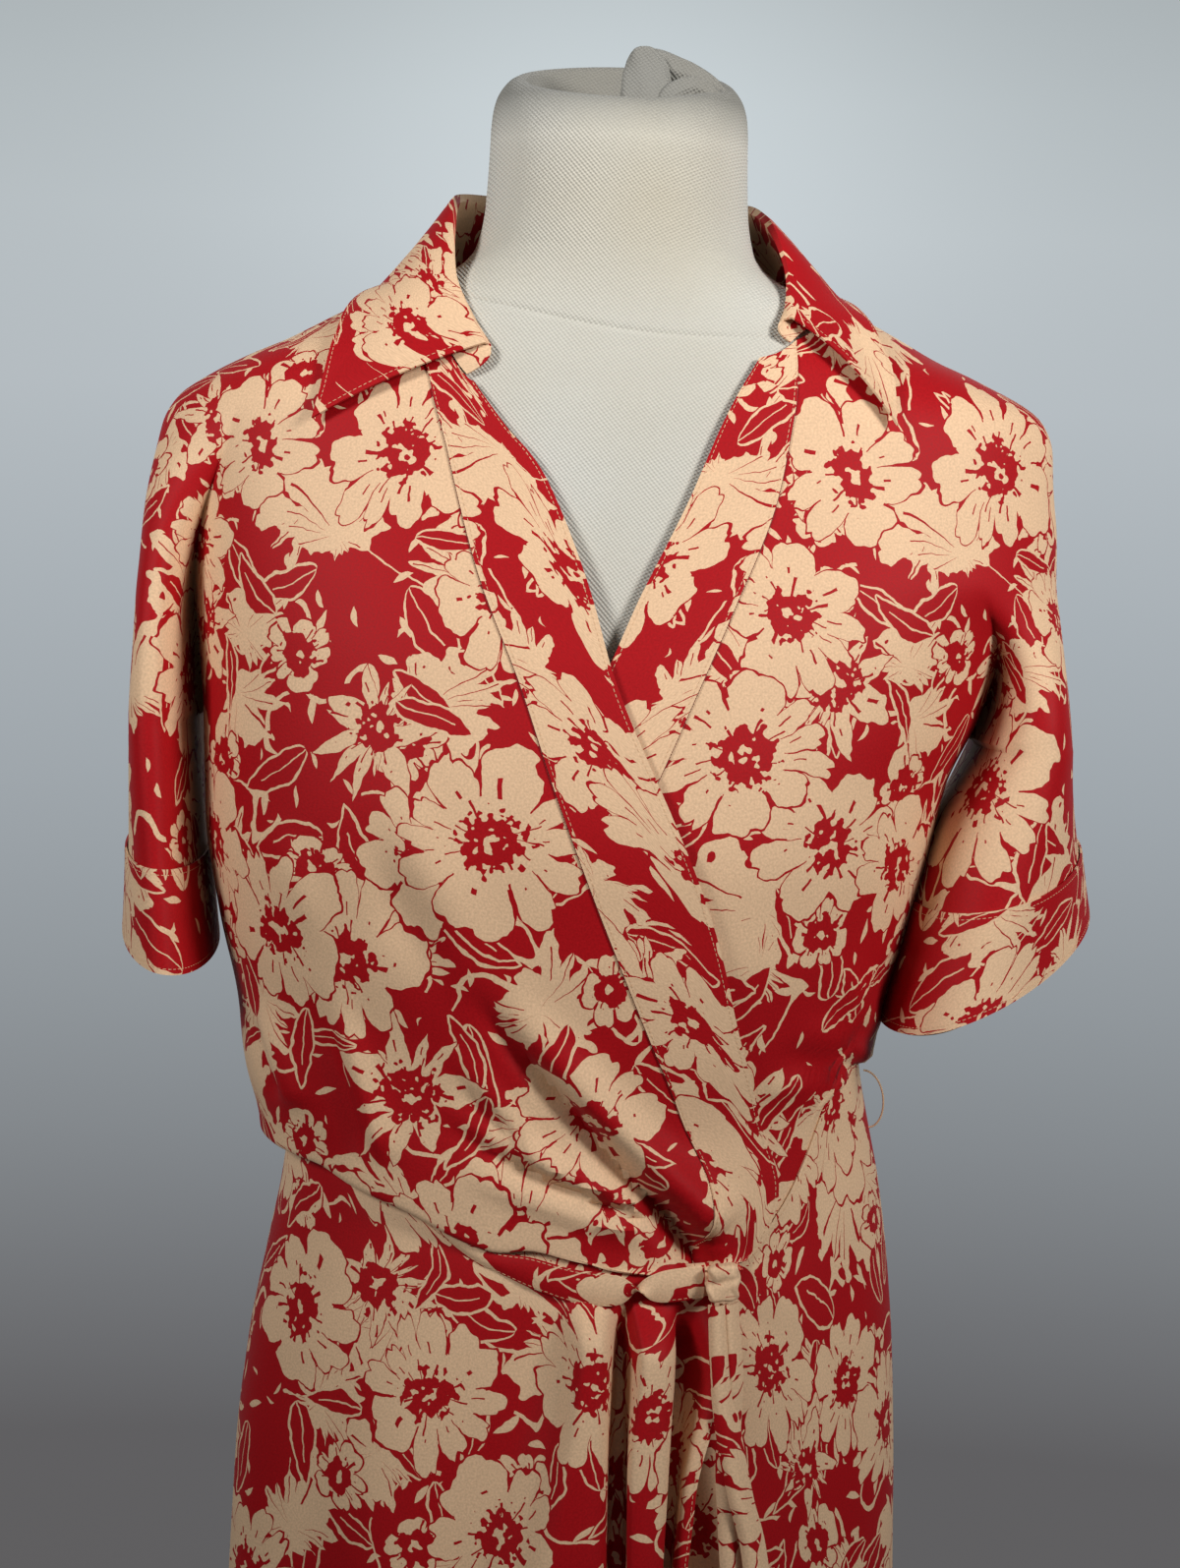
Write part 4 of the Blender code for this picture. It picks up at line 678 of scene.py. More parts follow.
class Sheet:
    """One flat-cut piece as a middle surface: points, faces, a normal and flat coordinates for each point."""

    def __init__(self, name, points, faces, flat=None):
        self.name, self.points, self.faces, self.flat = name, points, faces, flat
        outward = face_normals(points, faces)
        if (outward * points[faces].mean(axis=1) * (1, 1, 0)).sum() < 0:
            self.turn_over()
        self.normals = self.summed()

    def turn_over(self):
        """Makes the other side the outer one."""
        self.faces = self.faces[:, ::-1]
        self.normals = self.summed()

    @classmethod
    def grid(cls, name, points, flat=None):
        """A grid of points with its edges' lengths as flat coordinates, if it is given none."""
        rows, columns = points.shape[:2]
        if flat is None:
            flat = np.stack([run_lengths(points, 1), run_lengths(points, 0)], axis=-1)
        index = np.arange(rows * columns).reshape(rows, columns)
        sheet = cls(name, points.reshape(-1, 3), quads(index), flat.reshape(-1, 2))
        sheet.index = index
        return sheet

    def summed(self):
        """The sum of the normals of the faces round each point."""
        total = np.zeros_like(self.points)
        outward = face_normals(self.points, self.faces)
        for corner in range(4):
            np.add.at(total, self.faces[:, corner], outward)
        return total

    def unit_normals(self):
        """The normals, each of length 1."""
        return self.normals / np.linalg.norm(self.normals, axis=1, keepdims=True)

    def raise_by(self, height):
        """Moves each point out along its normal."""
        self.points = self.points + self.unit_normals() * height[:, None]
        self.normals = self.summed()

    def area(self):
        """The area of the middle surface."""
        return float(np.linalg.norm(face_normals(self.points, self.faces), axis=1).sum() / 2)

    def flatten(self):
        """Flat coordinates in metres from an unwrapping, turned so that the grain runs up the piece."""
        mesh = bpy.data.meshes.new("cut")
        mesh.from_pydata(self.points.tolist(), [], self.faces.tolist())
        mesh.uv_layers.new(name="cut")
        piece = bpy.data.objects.new("cut", mesh)
        bpy.context.scene.collection.objects.link(piece)
        bpy.context.view_layer.objects.active = piece
        piece.select_set(True)
        bpy.ops.object.mode_set(mode="EDIT")
        bpy.ops.mesh.select_all(action="SELECT")
        bpy.ops.uv.unwrap(method="ANGLE_BASED", margin=0.0)
        bpy.ops.object.mode_set(mode="OBJECT")
        corner = np.zeros(len(mesh.loops), np.int32)
        spread = np.zeros(len(mesh.loops) * 2, np.float32)
        mesh.loops.foreach_get("vertex_index", corner)
        mesh.uv_layers[0].uv.foreach_get("vector", spread)
        flat = np.zeros((len(self.points), 2))
        flat[corner] = spread.reshape(-1, 2)
        bpy.data.objects.remove(piece)
        bpy.data.meshes.remove(mesh)
        across = flat[self.faces]
        first, second = across[:, 2] - across[:, 0], across[:, 3] - across[:, 1]
        flat_area = abs(first[:, 0] * second[:, 1] - first[:, 1] * second[:, 0]).sum() / 2
        flat *= np.sqrt(self.area() / flat_area)
        flat -= flat.mean(axis=0)
        plane = np.column_stack([flat, np.ones(len(flat))])
        up = np.linalg.lstsq(plane, self.points[:, 2], rcond=None)[0][:2]
        way = np.arctan2(up[0], up[1])
        self.flat = flat @ np.array([[np.cos(way), np.sin(way)], [-np.sin(way), np.cos(way)]])

    def rim(self):
        """The edges that only one face has, in that face's direction."""
        ahead = np.stack([self.faces, np.roll(self.faces, -1, axis=1)], axis=-1).reshape(-1, 2)
        size = len(self.points)
        back = ahead[:, 1] * size + ahead[:, 0]
        return ahead[~np.isin(ahead[:, 0] * size + ahead[:, 1], back)]

    def build(self, finish, wall, lift=0.0, **how):
        """The wall of the sheet, its middle moved out by lift."""
        normals = self.unit_normals()
        outer = self.points + normals * (lift + wall / 2)
        inner = self.points + normals * (lift - wall / 2)
        rim, size = self.rim(), len(self.points)
        sides = np.stack([rim[:, 1], rim[:, 0], rim[:, 0] + size, rim[:, 1] + size], axis=-1)
        faces = np.concatenate([self.faces, self.faces[:, ::-1] + size, sides])
        piece = put(self.name + "_cloth", np.concatenate([outer, inner]), faces,
                    np.concatenate([self.flat, self.flat]), finish, **how)
        width, length, area, held, rests_on = CUTS[self.name]
        return piece


def share_normals(sheets):
    """Gives points of different sheets that lie together one normal, so that walls meet flush at a seam."""
    points = np.concatenate([sheet.points for sheet in sheets])
    normals = np.concatenate([sheet.normals for sheet in sheets])
    key = np.unique(np.round(points / 2e-5).astype(int), axis=0, return_inverse=True)[1].ravel()
    total = np.zeros((key.max() + 1, 3))
    np.add.at(total, key, normals)
    start = 0
    for sheet in sheets:
        sheet.normals = total[key[start:start + len(sheet.points)]]
        start += len(sheet.points)


def ridges(folds, across, up):
    """Height of listed folds over a plane of two coordinates.

    Each row is a line from one point to another, bent sideways in the middle. The fold is a bell across that
    line, which fades in over the first share of it and out over the last.
    """
    height = np.zeros(np.broadcast(across, up).shape)
    for start_x, start_z, end_x, end_z, bend, rise, width, fade_in, fade_out in folds:
        run = np.array([end_x - start_x, end_z - start_z])
        length = np.hypot(*run)
        run /= length
        along = ((across - start_x) * run[0] + (up - start_z) * run[1]) / length
        aside = (across - start_x) * run[1] - (up - start_z) * run[0]
        aside = aside - bend * 4 * np.clip(along, 0, 1) * (1 - np.clip(along, 0, 1))
        fade = smooth(along / fade_in) * smooth((1 - along) / fade_out)
        height += rise * fade * np.exp(-(aside / width) ** 2)
    return height


# ---- the bodice
def over_lift(angle, height):
    """How far the over front stands off the layer below: nothing at its side seam and on the shoulder."""
    return LAYER * smooth((angle - OVER_SIDE) / OVER_RAMP) * smooth((OVER_TOP - height) / OVER_TOP_RAMP)


def body_radius(angle, height, over, ease=BODY_EASE):
    """The radius of a front or the back, with the over front's lift if it is that piece."""
    radius = cloth_radius(angle, height, ease)
    if over:
        radius = radius + over_lift(angle, height)
    return radius


def sleeve_point(side, share, turn):
    """A point of the sleeve's tube. turn is 0 at the underarm, 180 at the overarm, and minus behind.

    The ring is a rounded oblong between its inner and outer x, turned a little and lower in front.
    """
    height, inner, outer, middle, depth, twist, dip, rise = columns(SLEEVE_RINGS[side], share, *range(1, 9))
    turn, twist = np.radians(turn), np.radians(twist)
    full, flat = SLEEVE_ROUND
    power = full + (flat - full) * smooth(share)
    across = -np.sign(np.cos(turn)) * np.abs(np.cos(turn)) ** power * (outer - inner) / 2
    ahead = np.sign(np.sin(turn)) * np.abs(np.sin(turn)) ** power * depth
    x = (inner + outer) / 2 + across * np.cos(twist) - ahead * np.sin(twist)
    y = middle - across * np.sin(twist) - ahead * np.cos(twist)
    z = height - dip * np.sin(turn) - rise * np.cos(turn)
    return np.stack(np.broadcast_arrays(side * x, y, z), axis=-1)


def crotch_blend(side, height):
    """How far the fold between chest and sleeve has opened: 0 above the fold, 1 at the underarm."""
    return smooth((FOLD_TOP[side] - height) / (FOLD_TOP[side] - UNDERARM_HEIGHT)) ** FOLD_POWER


def crossing(start, level):
    """The height where an edge, given as angle by height, meets a line, given as height by angle."""
    height = np.array(level(0.0) * 1.0)
    for _ in range(12):
        height = level(start(height))
    return height


def side_piece(side, start, waist, over, front=True):
    """A front, or half of the back: yoke above the underarm, then the body and the sleeve's half apart.

    Columns run from the inner edge (the band seam or the centre back) to the side and on to the overarm.
    start gives the inner edge's angle by height, and waist the waist seam's height by angle.
    """
    half = 90.0 * side
    columns = BODY_COLUMNS + SLEEVE_COLUMNS
    s = np.arange(columns + 1) / columns
    body_share = np.minimum(s * columns / BODY_COLUMNS, 1)
    sleeve_turn = np.clip((s * columns - BODY_COLUMNS) / SLEEVE_COLUMNS, 0, 1) * 180 * (1 if front else -1)

    down = np.linspace(0, 1, YOKE_ROWS + 1)[:, None] ** YOKE_CROWDING
    top = start(crossing(start, neck_height))
    neck = neck_height(top + (half - top) * s)
    height = neck + (UNDERARM_HEIGHT - neck) * down
    inner_edge = start(height)
    whole_angle = inner_edge + (half - inner_edge) * s
    whole_radius = body_radius(whole_angle, height, over, YOKE_EASE)
    split_angle = inner_edge + (half - inner_edge) * body_share
    split_radius = body_radius(split_angle, height, over)
    ring_point = sleeve_point(side, 0.0, sleeve_turn)
    fork_x = ring_point[BODY_COLUMNS, 0]
    reach = (ring_point[:, 0] - fork_x) / (ring_point[-1, 0] - fork_x)
    inside = cloth_radius(half, height, BODY_EASE) + SLEEVE_GAP
    tube_x = side * (inside + (cloth_radius(half, height, YOKE_EASE) - inside) * reach)
    tube_y = ring_point[:, 1] + 0 * height
    is_sleeve = np.arange(columns + 1) > BODY_COLUMNS
    split_angle = np.where(is_sleeve, np.degrees(np.arctan2(tube_x, -tube_y)), split_angle)
    split_radius = np.where(is_sleeve, np.hypot(tube_x, tube_y), split_radius)
    split_radius[:, BODY_COLUMNS] += FORK_OUT
    blend = crotch_blend(side, height)
    yoke = placed(whole_angle * (1 - blend) + split_angle * blend,
                  whole_radius * (1 - blend) + split_radius * blend, height)

    body = body_rows(lambda height, share: start(height) + (half - start(height)) * share,
                     np.arange(BODY_COLUMNS + 1) / BODY_COLUMNS, waist, over, front)
    sleeve = sleeve_point(side, np.linspace(0, 1, SLEEVE_ROWS + 1)[1:, None], sleeve_turn[BODY_COLUMNS:])
    return yoke, body, sleeve


def body_rows(angle_at, share, waist, over, front):
    """Rows from below the underarm to the overhang's lowest ring, and in to the waist seam.

    angle_at gives the angle of a column by height and by share across the piece.
    """
    fall = np.linspace(0, 1, BODY_ROWS + 1)[1:, None]
    at_waist = [crossing(lambda height, one=one: angle_at(height, one), waist) for one in share]
    waist_angle = np.array([angle_at(height, one) for height, one in zip(at_waist, share)])
    seam = waist(waist_angle)
    swell, droop = columns(OVERHANG, waist_angle, 1, 2)
    if front and not over:
        shown = smooth((waist_angle - UNDER_SHOWN[0]) / UNDER_SHOWN[1])
        swell, droop = swell * shown, droop * shown
    above, dip, inset, taper = OVERHANG_ROWS[0]
    low = seam + above - dip * droop
    height = UNDERARM_HEIGHT + (low - UNDERARM_HEIGHT) * fall
    angle = angle_at(height, share)
    swelling = swell * smooth((fall - SWELL_FALL[0]) / SWELL_FALL[1])
    rows = placed(angle, body_radius(angle, height, over) + swelling, height)
    last = body_radius(waist_angle, low, over)
    lifted = SEAM_LIFT * smooth((waist_angle - OVER_SIDE) / OVER_RAMP) if over else 0
    seam_radius = skirt_radius(waist_angle, seam) + lifted
    hanging = smooth(droop / HANGING_DROOP)
    under = [rows[-2], rows[-1]]
    for above, dip, inset, taper in OVERHANG_ROWS[1:]:
        plain = (last + swell) * (1 - taper) + seam_radius * taper
        radius = plain * (1 - hanging) + (last + swell - inset * droop) * hanging
        under.append(placed(waist_angle, radius, seam + above - dip * droop))
    under.append(placed(waist_angle, seam_radius, seam))
    under.append(2 * under[-1] - under[-2])
    return np.concatenate([rows, through(under, TURN_ROWS)])


def branch(name, *grids):
    """One sheet of three grids: body and sleeve hang from the two parts of the yoke's last row."""
    sizes = [grid.shape[0] * grid.shape[1] for grid in grids]
    yoke, body, sleeve = [np.arange(start, start + size).reshape(grid.shape[:2])
                          for grid, start, size in zip(grids, np.cumsum([0] + sizes), sizes)]
    body = np.concatenate([yoke[-1:, :BODY_COLUMNS + 1], body])
    sleeve = np.concatenate([yoke[-1:, BODY_COLUMNS:], sleeve])
    sheet = Sheet(name, np.concatenate([grid.reshape(-1, 3) for grid in grids]),
                  np.concatenate([quads(index) for index in (yoke, body, sleeve)]))
    sheet.centre = np.concatenate([yoke[:, 0], body[1:, 0]])
    return sheet


def neck_height(angle):
    """The neckline's height at an angle. It dips in front, more on the over front."""
    dips = [drop * np.exp(-((signed(angle) - middle) / width) ** 2) for middle, width, drop in NECK_DIPS]
    return column(NECKLINE, np.abs(signed(angle)), 1) - sum(dips)


def waist_height(angle):
    """The waist seam's height at an angle, for the under front, the back and their skirts."""
    return column(WAIST_SEAM, signed(angle), 1)


def over_waist_height(angle):
    """The same for the over front and its skirt."""
    return waist_height(np.minimum(signed(angle), OVER_SEAM_END))


def bodice_sheets():
    """The back, the two fronts and their bands."""
    sheets = {}
    fronts = (("right_front", -1, OVER_EDGE, over_waist_height, True),
              ("left_front", 1, UNDER_EDGE, waist_height, False))
    for name, side, edges, waist, over in fronts:
        parts = side_piece(side, lambda height, edges=edges: column(edges, height, 2), waist, over)
        sheets[name] = branch(name, *parts)
        sheets[name + "_band"] = band(name + "_band", side, edges, waist, over, parts)
    behind = {side: lambda height, side=side: 180.0 * side + 0 * height for side in (-1, 1)}
    sheets["back_bodice"] = joined_back([
        side_piece(side, edge, waist_height, False, front=False) for side, edge in behind.items()])
    return sheets


def band(name, side, edges, waist, over, parts):
    """A front's band: columns from the front's inner edge, whose points it shares, to the free edge."""
    share = np.linspace(0, 1, BAND_COLUMNS + 1)

    def angle_at(height, share):
        """The angle of a column, part of the way from the seam to the free edge."""
        seam, edge = columns(edges, height, 2, 1)
        return seam + (edge - seam) * share

    down = np.linspace(0, 1, YOKE_ROWS + 1)[:, None] ** YOKE_CROWDING
    neck = np.array([crossing(lambda height, one=one: angle_at(height, one), neck_height) for one in share])
    height = neck + (UNDERARM_HEIGHT - neck) * down
    angle, blend = angle_at(height, share), crotch_blend(side, height)
    whole, split = [body_radius(angle, height, over, ease) for ease in (YOKE_EASE, BODY_EASE)]
    points = np.concatenate([placed(angle, whole * (1 - blend) + split * blend, height),
                             body_rows(angle_at, share, waist, over, True)])
    points[:, 0] = np.concatenate([parts[0][:, 0], parts[1][:, 0]])
    return Sheet.grid(name, points)


def joined_back(halves):
    """The back as one sheet: the two halves share their centre column."""
    left, right = [branch("back_bodice", *half) for half in halves]
    points, faces = together([(half.points, half.faces) for half in (left, right)])
    doubled = right.centre + len(left.points)
    kept = np.setdiff1d(np.arange(len(points)), doubled)
    place = np.zeros(len(points), int)
    place[kept] = np.arange(len(kept))
    place[doubled] = place[left.centre]
    return Sheet("back_bodice", points[kept], place[faces])


# ---- other cloth
def cuff_sheet(name, side):
    """A strip round the sleeve's end, on the sleeve's own surface, that starts and ends at the underarm."""
    share = np.linspace(CUFF_START, 1, CUFF_ROWS + 1)[:, None]
    turn = np.linspace(0, 360, 2 * SLEEVE_COLUMNS + 1)
    return Sheet.grid(name, sleeve_point(side, share, turn))


def clear_of_bodice(points, clearance):
    """Moves points that are closer to the bodice's yoke than clearance straight out from it."""
    for _ in range(4):
        angle = np.degrees(np.arctan2(points[..., 0], -points[..., 1]))
        height = np.clip(points[..., 2], *YOKE_SPAN)
        radius = cloth_radius(angle, height, YOKE_EASE)
        above, below = [cloth_radius(angle, height + step, YOKE_EASE) for step in (STEP, -STEP)]
        slope = (above - below) / (2 * STEP)
        long = np.sqrt(1 + slope ** 2)
        away = (np.hypot(points[..., 0], points[..., 1]) - radius) / long
        push = np.maximum(clearance - away, 0) / long
        points = points + placed(angle, push, -slope * push)
    return points


def collar_sheet():
    """Stand and fall in one grid: columns run from the neck seam up to the roll and down to the edge."""
    stations = COLLAR_STATIONS[::-1]
    angle = np.linspace(stations[0, 0], stations[-1, 0], COLLAR_COLUMNS + 1)
    roll = np.stack(columns(stations, angle, 1, 2, 3), axis=-1)
    edge = np.stack(columns(stations, angle, 4, 5, 6), axis=-1)
    bow_out, bow_up = [bow[:, None] for bow in columns(stations, angle, 7, 8)]
    seam_height = neck_height(angle)
    seam = placed(angle, cloth_radius(angle, seam_height, YOKE_EASE), seam_height + COLLAR_LIFT)
    outward = placed(angle, 1.0, 0 * angle)
    ends = sum(np.exp(-((angle - end) / STAND_LOBE[1]) ** 2) for end in (angle[0], angle[-1]))
    inward = -np.sign(outward[:, :1]) * (1, 0, 0) + (0, -0.5, 0)
    lobe = STAND_LOBE[0] * ends[:, None] * inward
    rows = []
    for t in np.linspace(0, 1, STAND_STEPS + 1)[:-1]:
        rows.append(seam * (1 - t) + (roll - outward * ROLL_INSET) * t + lobe * 4 * t * (1 - t))
    bow = roll * (1 - BOW_SHARE) + edge * BOW_SHARE + outward * bow_out + bow_up * (0, 0, 1)
    for t in np.linspace(0, 1, FALL_STEPS + 1):
        fall = roll * (1 - t) ** 2 + 2 * bow * t * (1 - t) + edge * t ** 2
        rows.append(clear_of_bodice(fall, COLLAR_CLEAR) if t > FALL_RESTS else fall)
    return Sheet.grid("collar", np.array(rows))


def hem_waves(angle, height):
    """Soft folds that grow from the hip to the hem."""
    grow = smooth((WAVES_FROM - height) / WAVES_FULL)
    total = np.zeros(np.broadcast(angle, height).shape)
    for middle, rise, width in HEM_WAVES:
        away = signed(angle - middle)
        total += rise * np.exp(-(away / width) ** 2)
    return total * grow


def over_bodice(angle):
    """1 where the skirt's upper edge lies over the bodice, at the wearer's left, and 0 elsewhere."""
    start, end, ramp = EDGE_OVER
    return smooth((signed(angle) - start) / ramp) * smooth((end - signed(angle)) / ramp)


def skirt_grid(angle, out, waist, top_drop=0.0):
    """A skirt panel's rows from its upper edge, which is tucked in behind the bodice, to the hem.

    angle is a function of the share down, and out one of share down, angle and height.
    """
    down = (np.linspace(0, 1, SKIRT_ROWS + 1)[:, None]) ** SKIRT_CROWDING
    reach, inset = SEAM_TUCK
    top_angle = angle(0 * down)[:1]
    above = over_bodice(top_angle)
    top = waist(top_angle) + reach * (1 - 0.5 * above) - top_drop
    inset = inset - (inset + EDGE_PROUD) * above
    height = top + (HEM_HEIGHT - top) * down
    now = angle(down)
    radius = skirt_radius(now, height) - inset * smooth(1 - down * TUCK_FADE) + out(down, now, height)
    return placed(now, radius, height)


def skirt_sheets():
    """Back, under front and over front. The over front is pleated and doubles back to its free edge."""
    share = np.linspace(0, 1, BACK_SKIRT_COLUMNS + 1)
    back = skirt_grid(lambda down: 90 + 180 * share + 0 * down,
                      lambda down, now, height: hem_waves(now, height), waist_height)
    edge_start = column(UNDER_EDGE, crossing(lambda height: column(UNDER_EDGE, height, 1), waist_height), 1)
    at_waist = np.linspace(edge_start, 90, UNDER_SKIRT_COLUMNS + 1)

    def under_angle(down):
        """The under skirt's angles: its hidden edge swings towards the front as it goes down."""
        from_side = (90 - at_waist) / (90 - at_waist[0])
        return at_waist + (UNDER_SKIRT_HEM_EDGE - at_waist[0]) * from_side * down

    def under_out(down, now, height):
        """Hem folds at the side, less the hollows between the pleats above it."""
        hollow = sum(depth * np.exp(-((now - middle) / width) ** 2) for middle, width, depth in UNDER_TROUGHS)
        hollow = hollow * smooth((down - PLEAT_START) / PLEAT_OUT)
        return hem_waves(now, height) * smooth((now - UNDER_FLARE[0]) / UNDER_FLARE[1]) - hollow

    under = skirt_grid(under_angle, under_out, waist_height)
    share_over = np.linspace(0, 1, OVER_SKIRT_COLUMNS + 1)
    top_angle, low_angle, deep_angle, top_out, low_out, drop = columns(CASCADE, share_over, *range(1, 7))

    def over_angle(down):
        """The over skirt's angles: from the top row over to the pleats' low and deep ones."""
        low, deep = [smooth((down - start) / reach) for start, reach in (PLEAT_TURN, PLEAT_DEEP)]
        return top_angle * (1 - low) + (low_angle * (1 - deep) + deep_angle * deep) * low

    def over_out(down, now, height):
        """How far the folds stand out: top_out at the top row, low_out once they are full."""
        reach = SOFT_OUT + (PLEAT_OUT - SOFT_OUT) * smooth((share_over - PLEATS_FROM[0]) / PLEATS_FROM[1])
        low = smooth((down - PLEAT_START) / reach)
        return top_out * (1 - low) + low_out * low

    over = skirt_grid(over_angle, over_out, over_waist_height, drop)
    made = {"back_skirt": back, "left_front_skirt": under, "right_front_skirt": over}
    sheets = {}
    for name, points in made.items():
        flat = np.stack([run_lengths(points, 1), points[..., 2]], axis=-1)
        flat[..., 0] -= flat[..., 0].mean(axis=1, keepdims=True)
        sheets[name] = Sheet.grid(name, points, flat)
    share_normals(list(sheets.values()))
    return sheets


def tie_sheet():
    """The strap: a flat band that follows the waist, pinched and turned over once in front."""
    angle = np.linspace(TIE_ROUTE[0, 0], TIE_ROUTE[-1, 0], TIE_COLUMNS + 1)
    height, out, width = columns(TIE_ROUTE, angle, 1, 2, 3)
    start, reach = TIE_TWIST
    turn = np.pi * smooth((angle - start) / reach)
    pinch, spread, left = TIE_PINCH
    half = width / 2 * (1 - (1 - left) * np.exp(-((angle - pinch) / spread) ** 2))
    radius = skirt_radius(signed(angle), height) + out
    rows = []
    for share in np.linspace(-1, 1, TIE_ROWS + 1):
        bulge = STRAP_BOW[0] * (1 - share ** 2) - STRAP_BOW[1]
        rows.append(placed(angle, radius + bulge + share * half * np.sin(turn) * TWIST_DEPTH,
                           height + share * half * np.cos(turn)))
    return Sheet.grid("waist_tie", np.array(rows))


def tail_sheet(name, rows):
    """A hanging tie end: a flat band down a route of x, y, z and width."""
    share = np.linspace(0, 1, TAIL_ROWS)
    at = np.linspace(0, 1, len(rows))
    *place, width = [curve(share, at, rows[:, k]) for k in range(4)]
    middle = np.stack(place, axis=-1)
    across = np.stack([width / 2, TAIL_SLANT * width, 0 * width], axis=-1)
    bow = np.array((0, -TAIL_BOW, 0))
    made = [middle + across * side + bow * (1 - side ** 2) for side in np.linspace(-1, 1, TAIL_COLUMNS)]
    sheet = Sheet.grid(name, np.array(made).transpose(1, 0, 2))
    sheet.flat = sheet.flat + TAIL_PRINT
    return sheet


def closed(rings):
    """Points and faces of a closed solid of rings from the lowest to the highest, its two ends filled."""
    rings = np.asarray(rings)
    low, high = [rings[:1] * 0 + rings[end].mean(axis=0) for end in (0, -1)]
    rings = np.concatenate([low, rings, high])
    rows, columns = rings.shape[:2]
    index = np.arange(rows * columns).reshape(rows, columns)
    return rings.reshape(-1, 3), quads(np.concatenate([index, index[:, :1]], axis=1))


def solid(name, rings, finish, flat_from=None, **how):
    """A closed solid of rings as an object. Its end rings are drawn together to a point and merged.

    flat_from places flat coordinates, which are then the distances across and up from it.
    """
    points, faces = closed(rings)
    flat = None if flat_from is None else points[:, [0, 2]] - flat_from
    piece = put(name, points, faces, flat, finish, **how)
    merged = bmesh.new()
    merged.from_mesh(piece.data)
    bmesh.ops.remove_doubles(merged, verts=merged.verts, dist=1e-6)
    bmesh.ops.recalc_face_normals(merged, faces=merged.faces)
    merged.to_mesh(piece.data)
    merged.free()
    return piece


# ---- materials
def math_operator(operation, turned=False):
    """An operator of Value that adds a Math node, with the operands the other way round if turned."""
    def operate(self, *other):
        return self.paint.math(operation, *(*other, self) if turned else (self, *other))
    return operate


class Value:
    """A shader socket in an expression: each operator adds a Math node."""
    __add__ = __radd__ = math_operator("ADD")
    __sub__, __rsub__ = math_operator("SUBTRACT"), math_operator("SUBTRACT", turned=True)
    __mul__ = __rmul__ = math_operator("MULTIPLY")
    __truediv__, __rtruediv__ = math_operator("DIVIDE"), math_operator("DIVIDE", turned=True)
    __pow__, __abs__ = math_operator("POWER"), math_operator("ABSOLUTE")
    __lt__, __gt__ = math_operator("LESS_THAN"), math_operator("GREATER_THAN")

    def __init__(self, paint, socket):
        self.paint, self.socket = paint, socket

    def __neg__(self):
        return self * -1.0


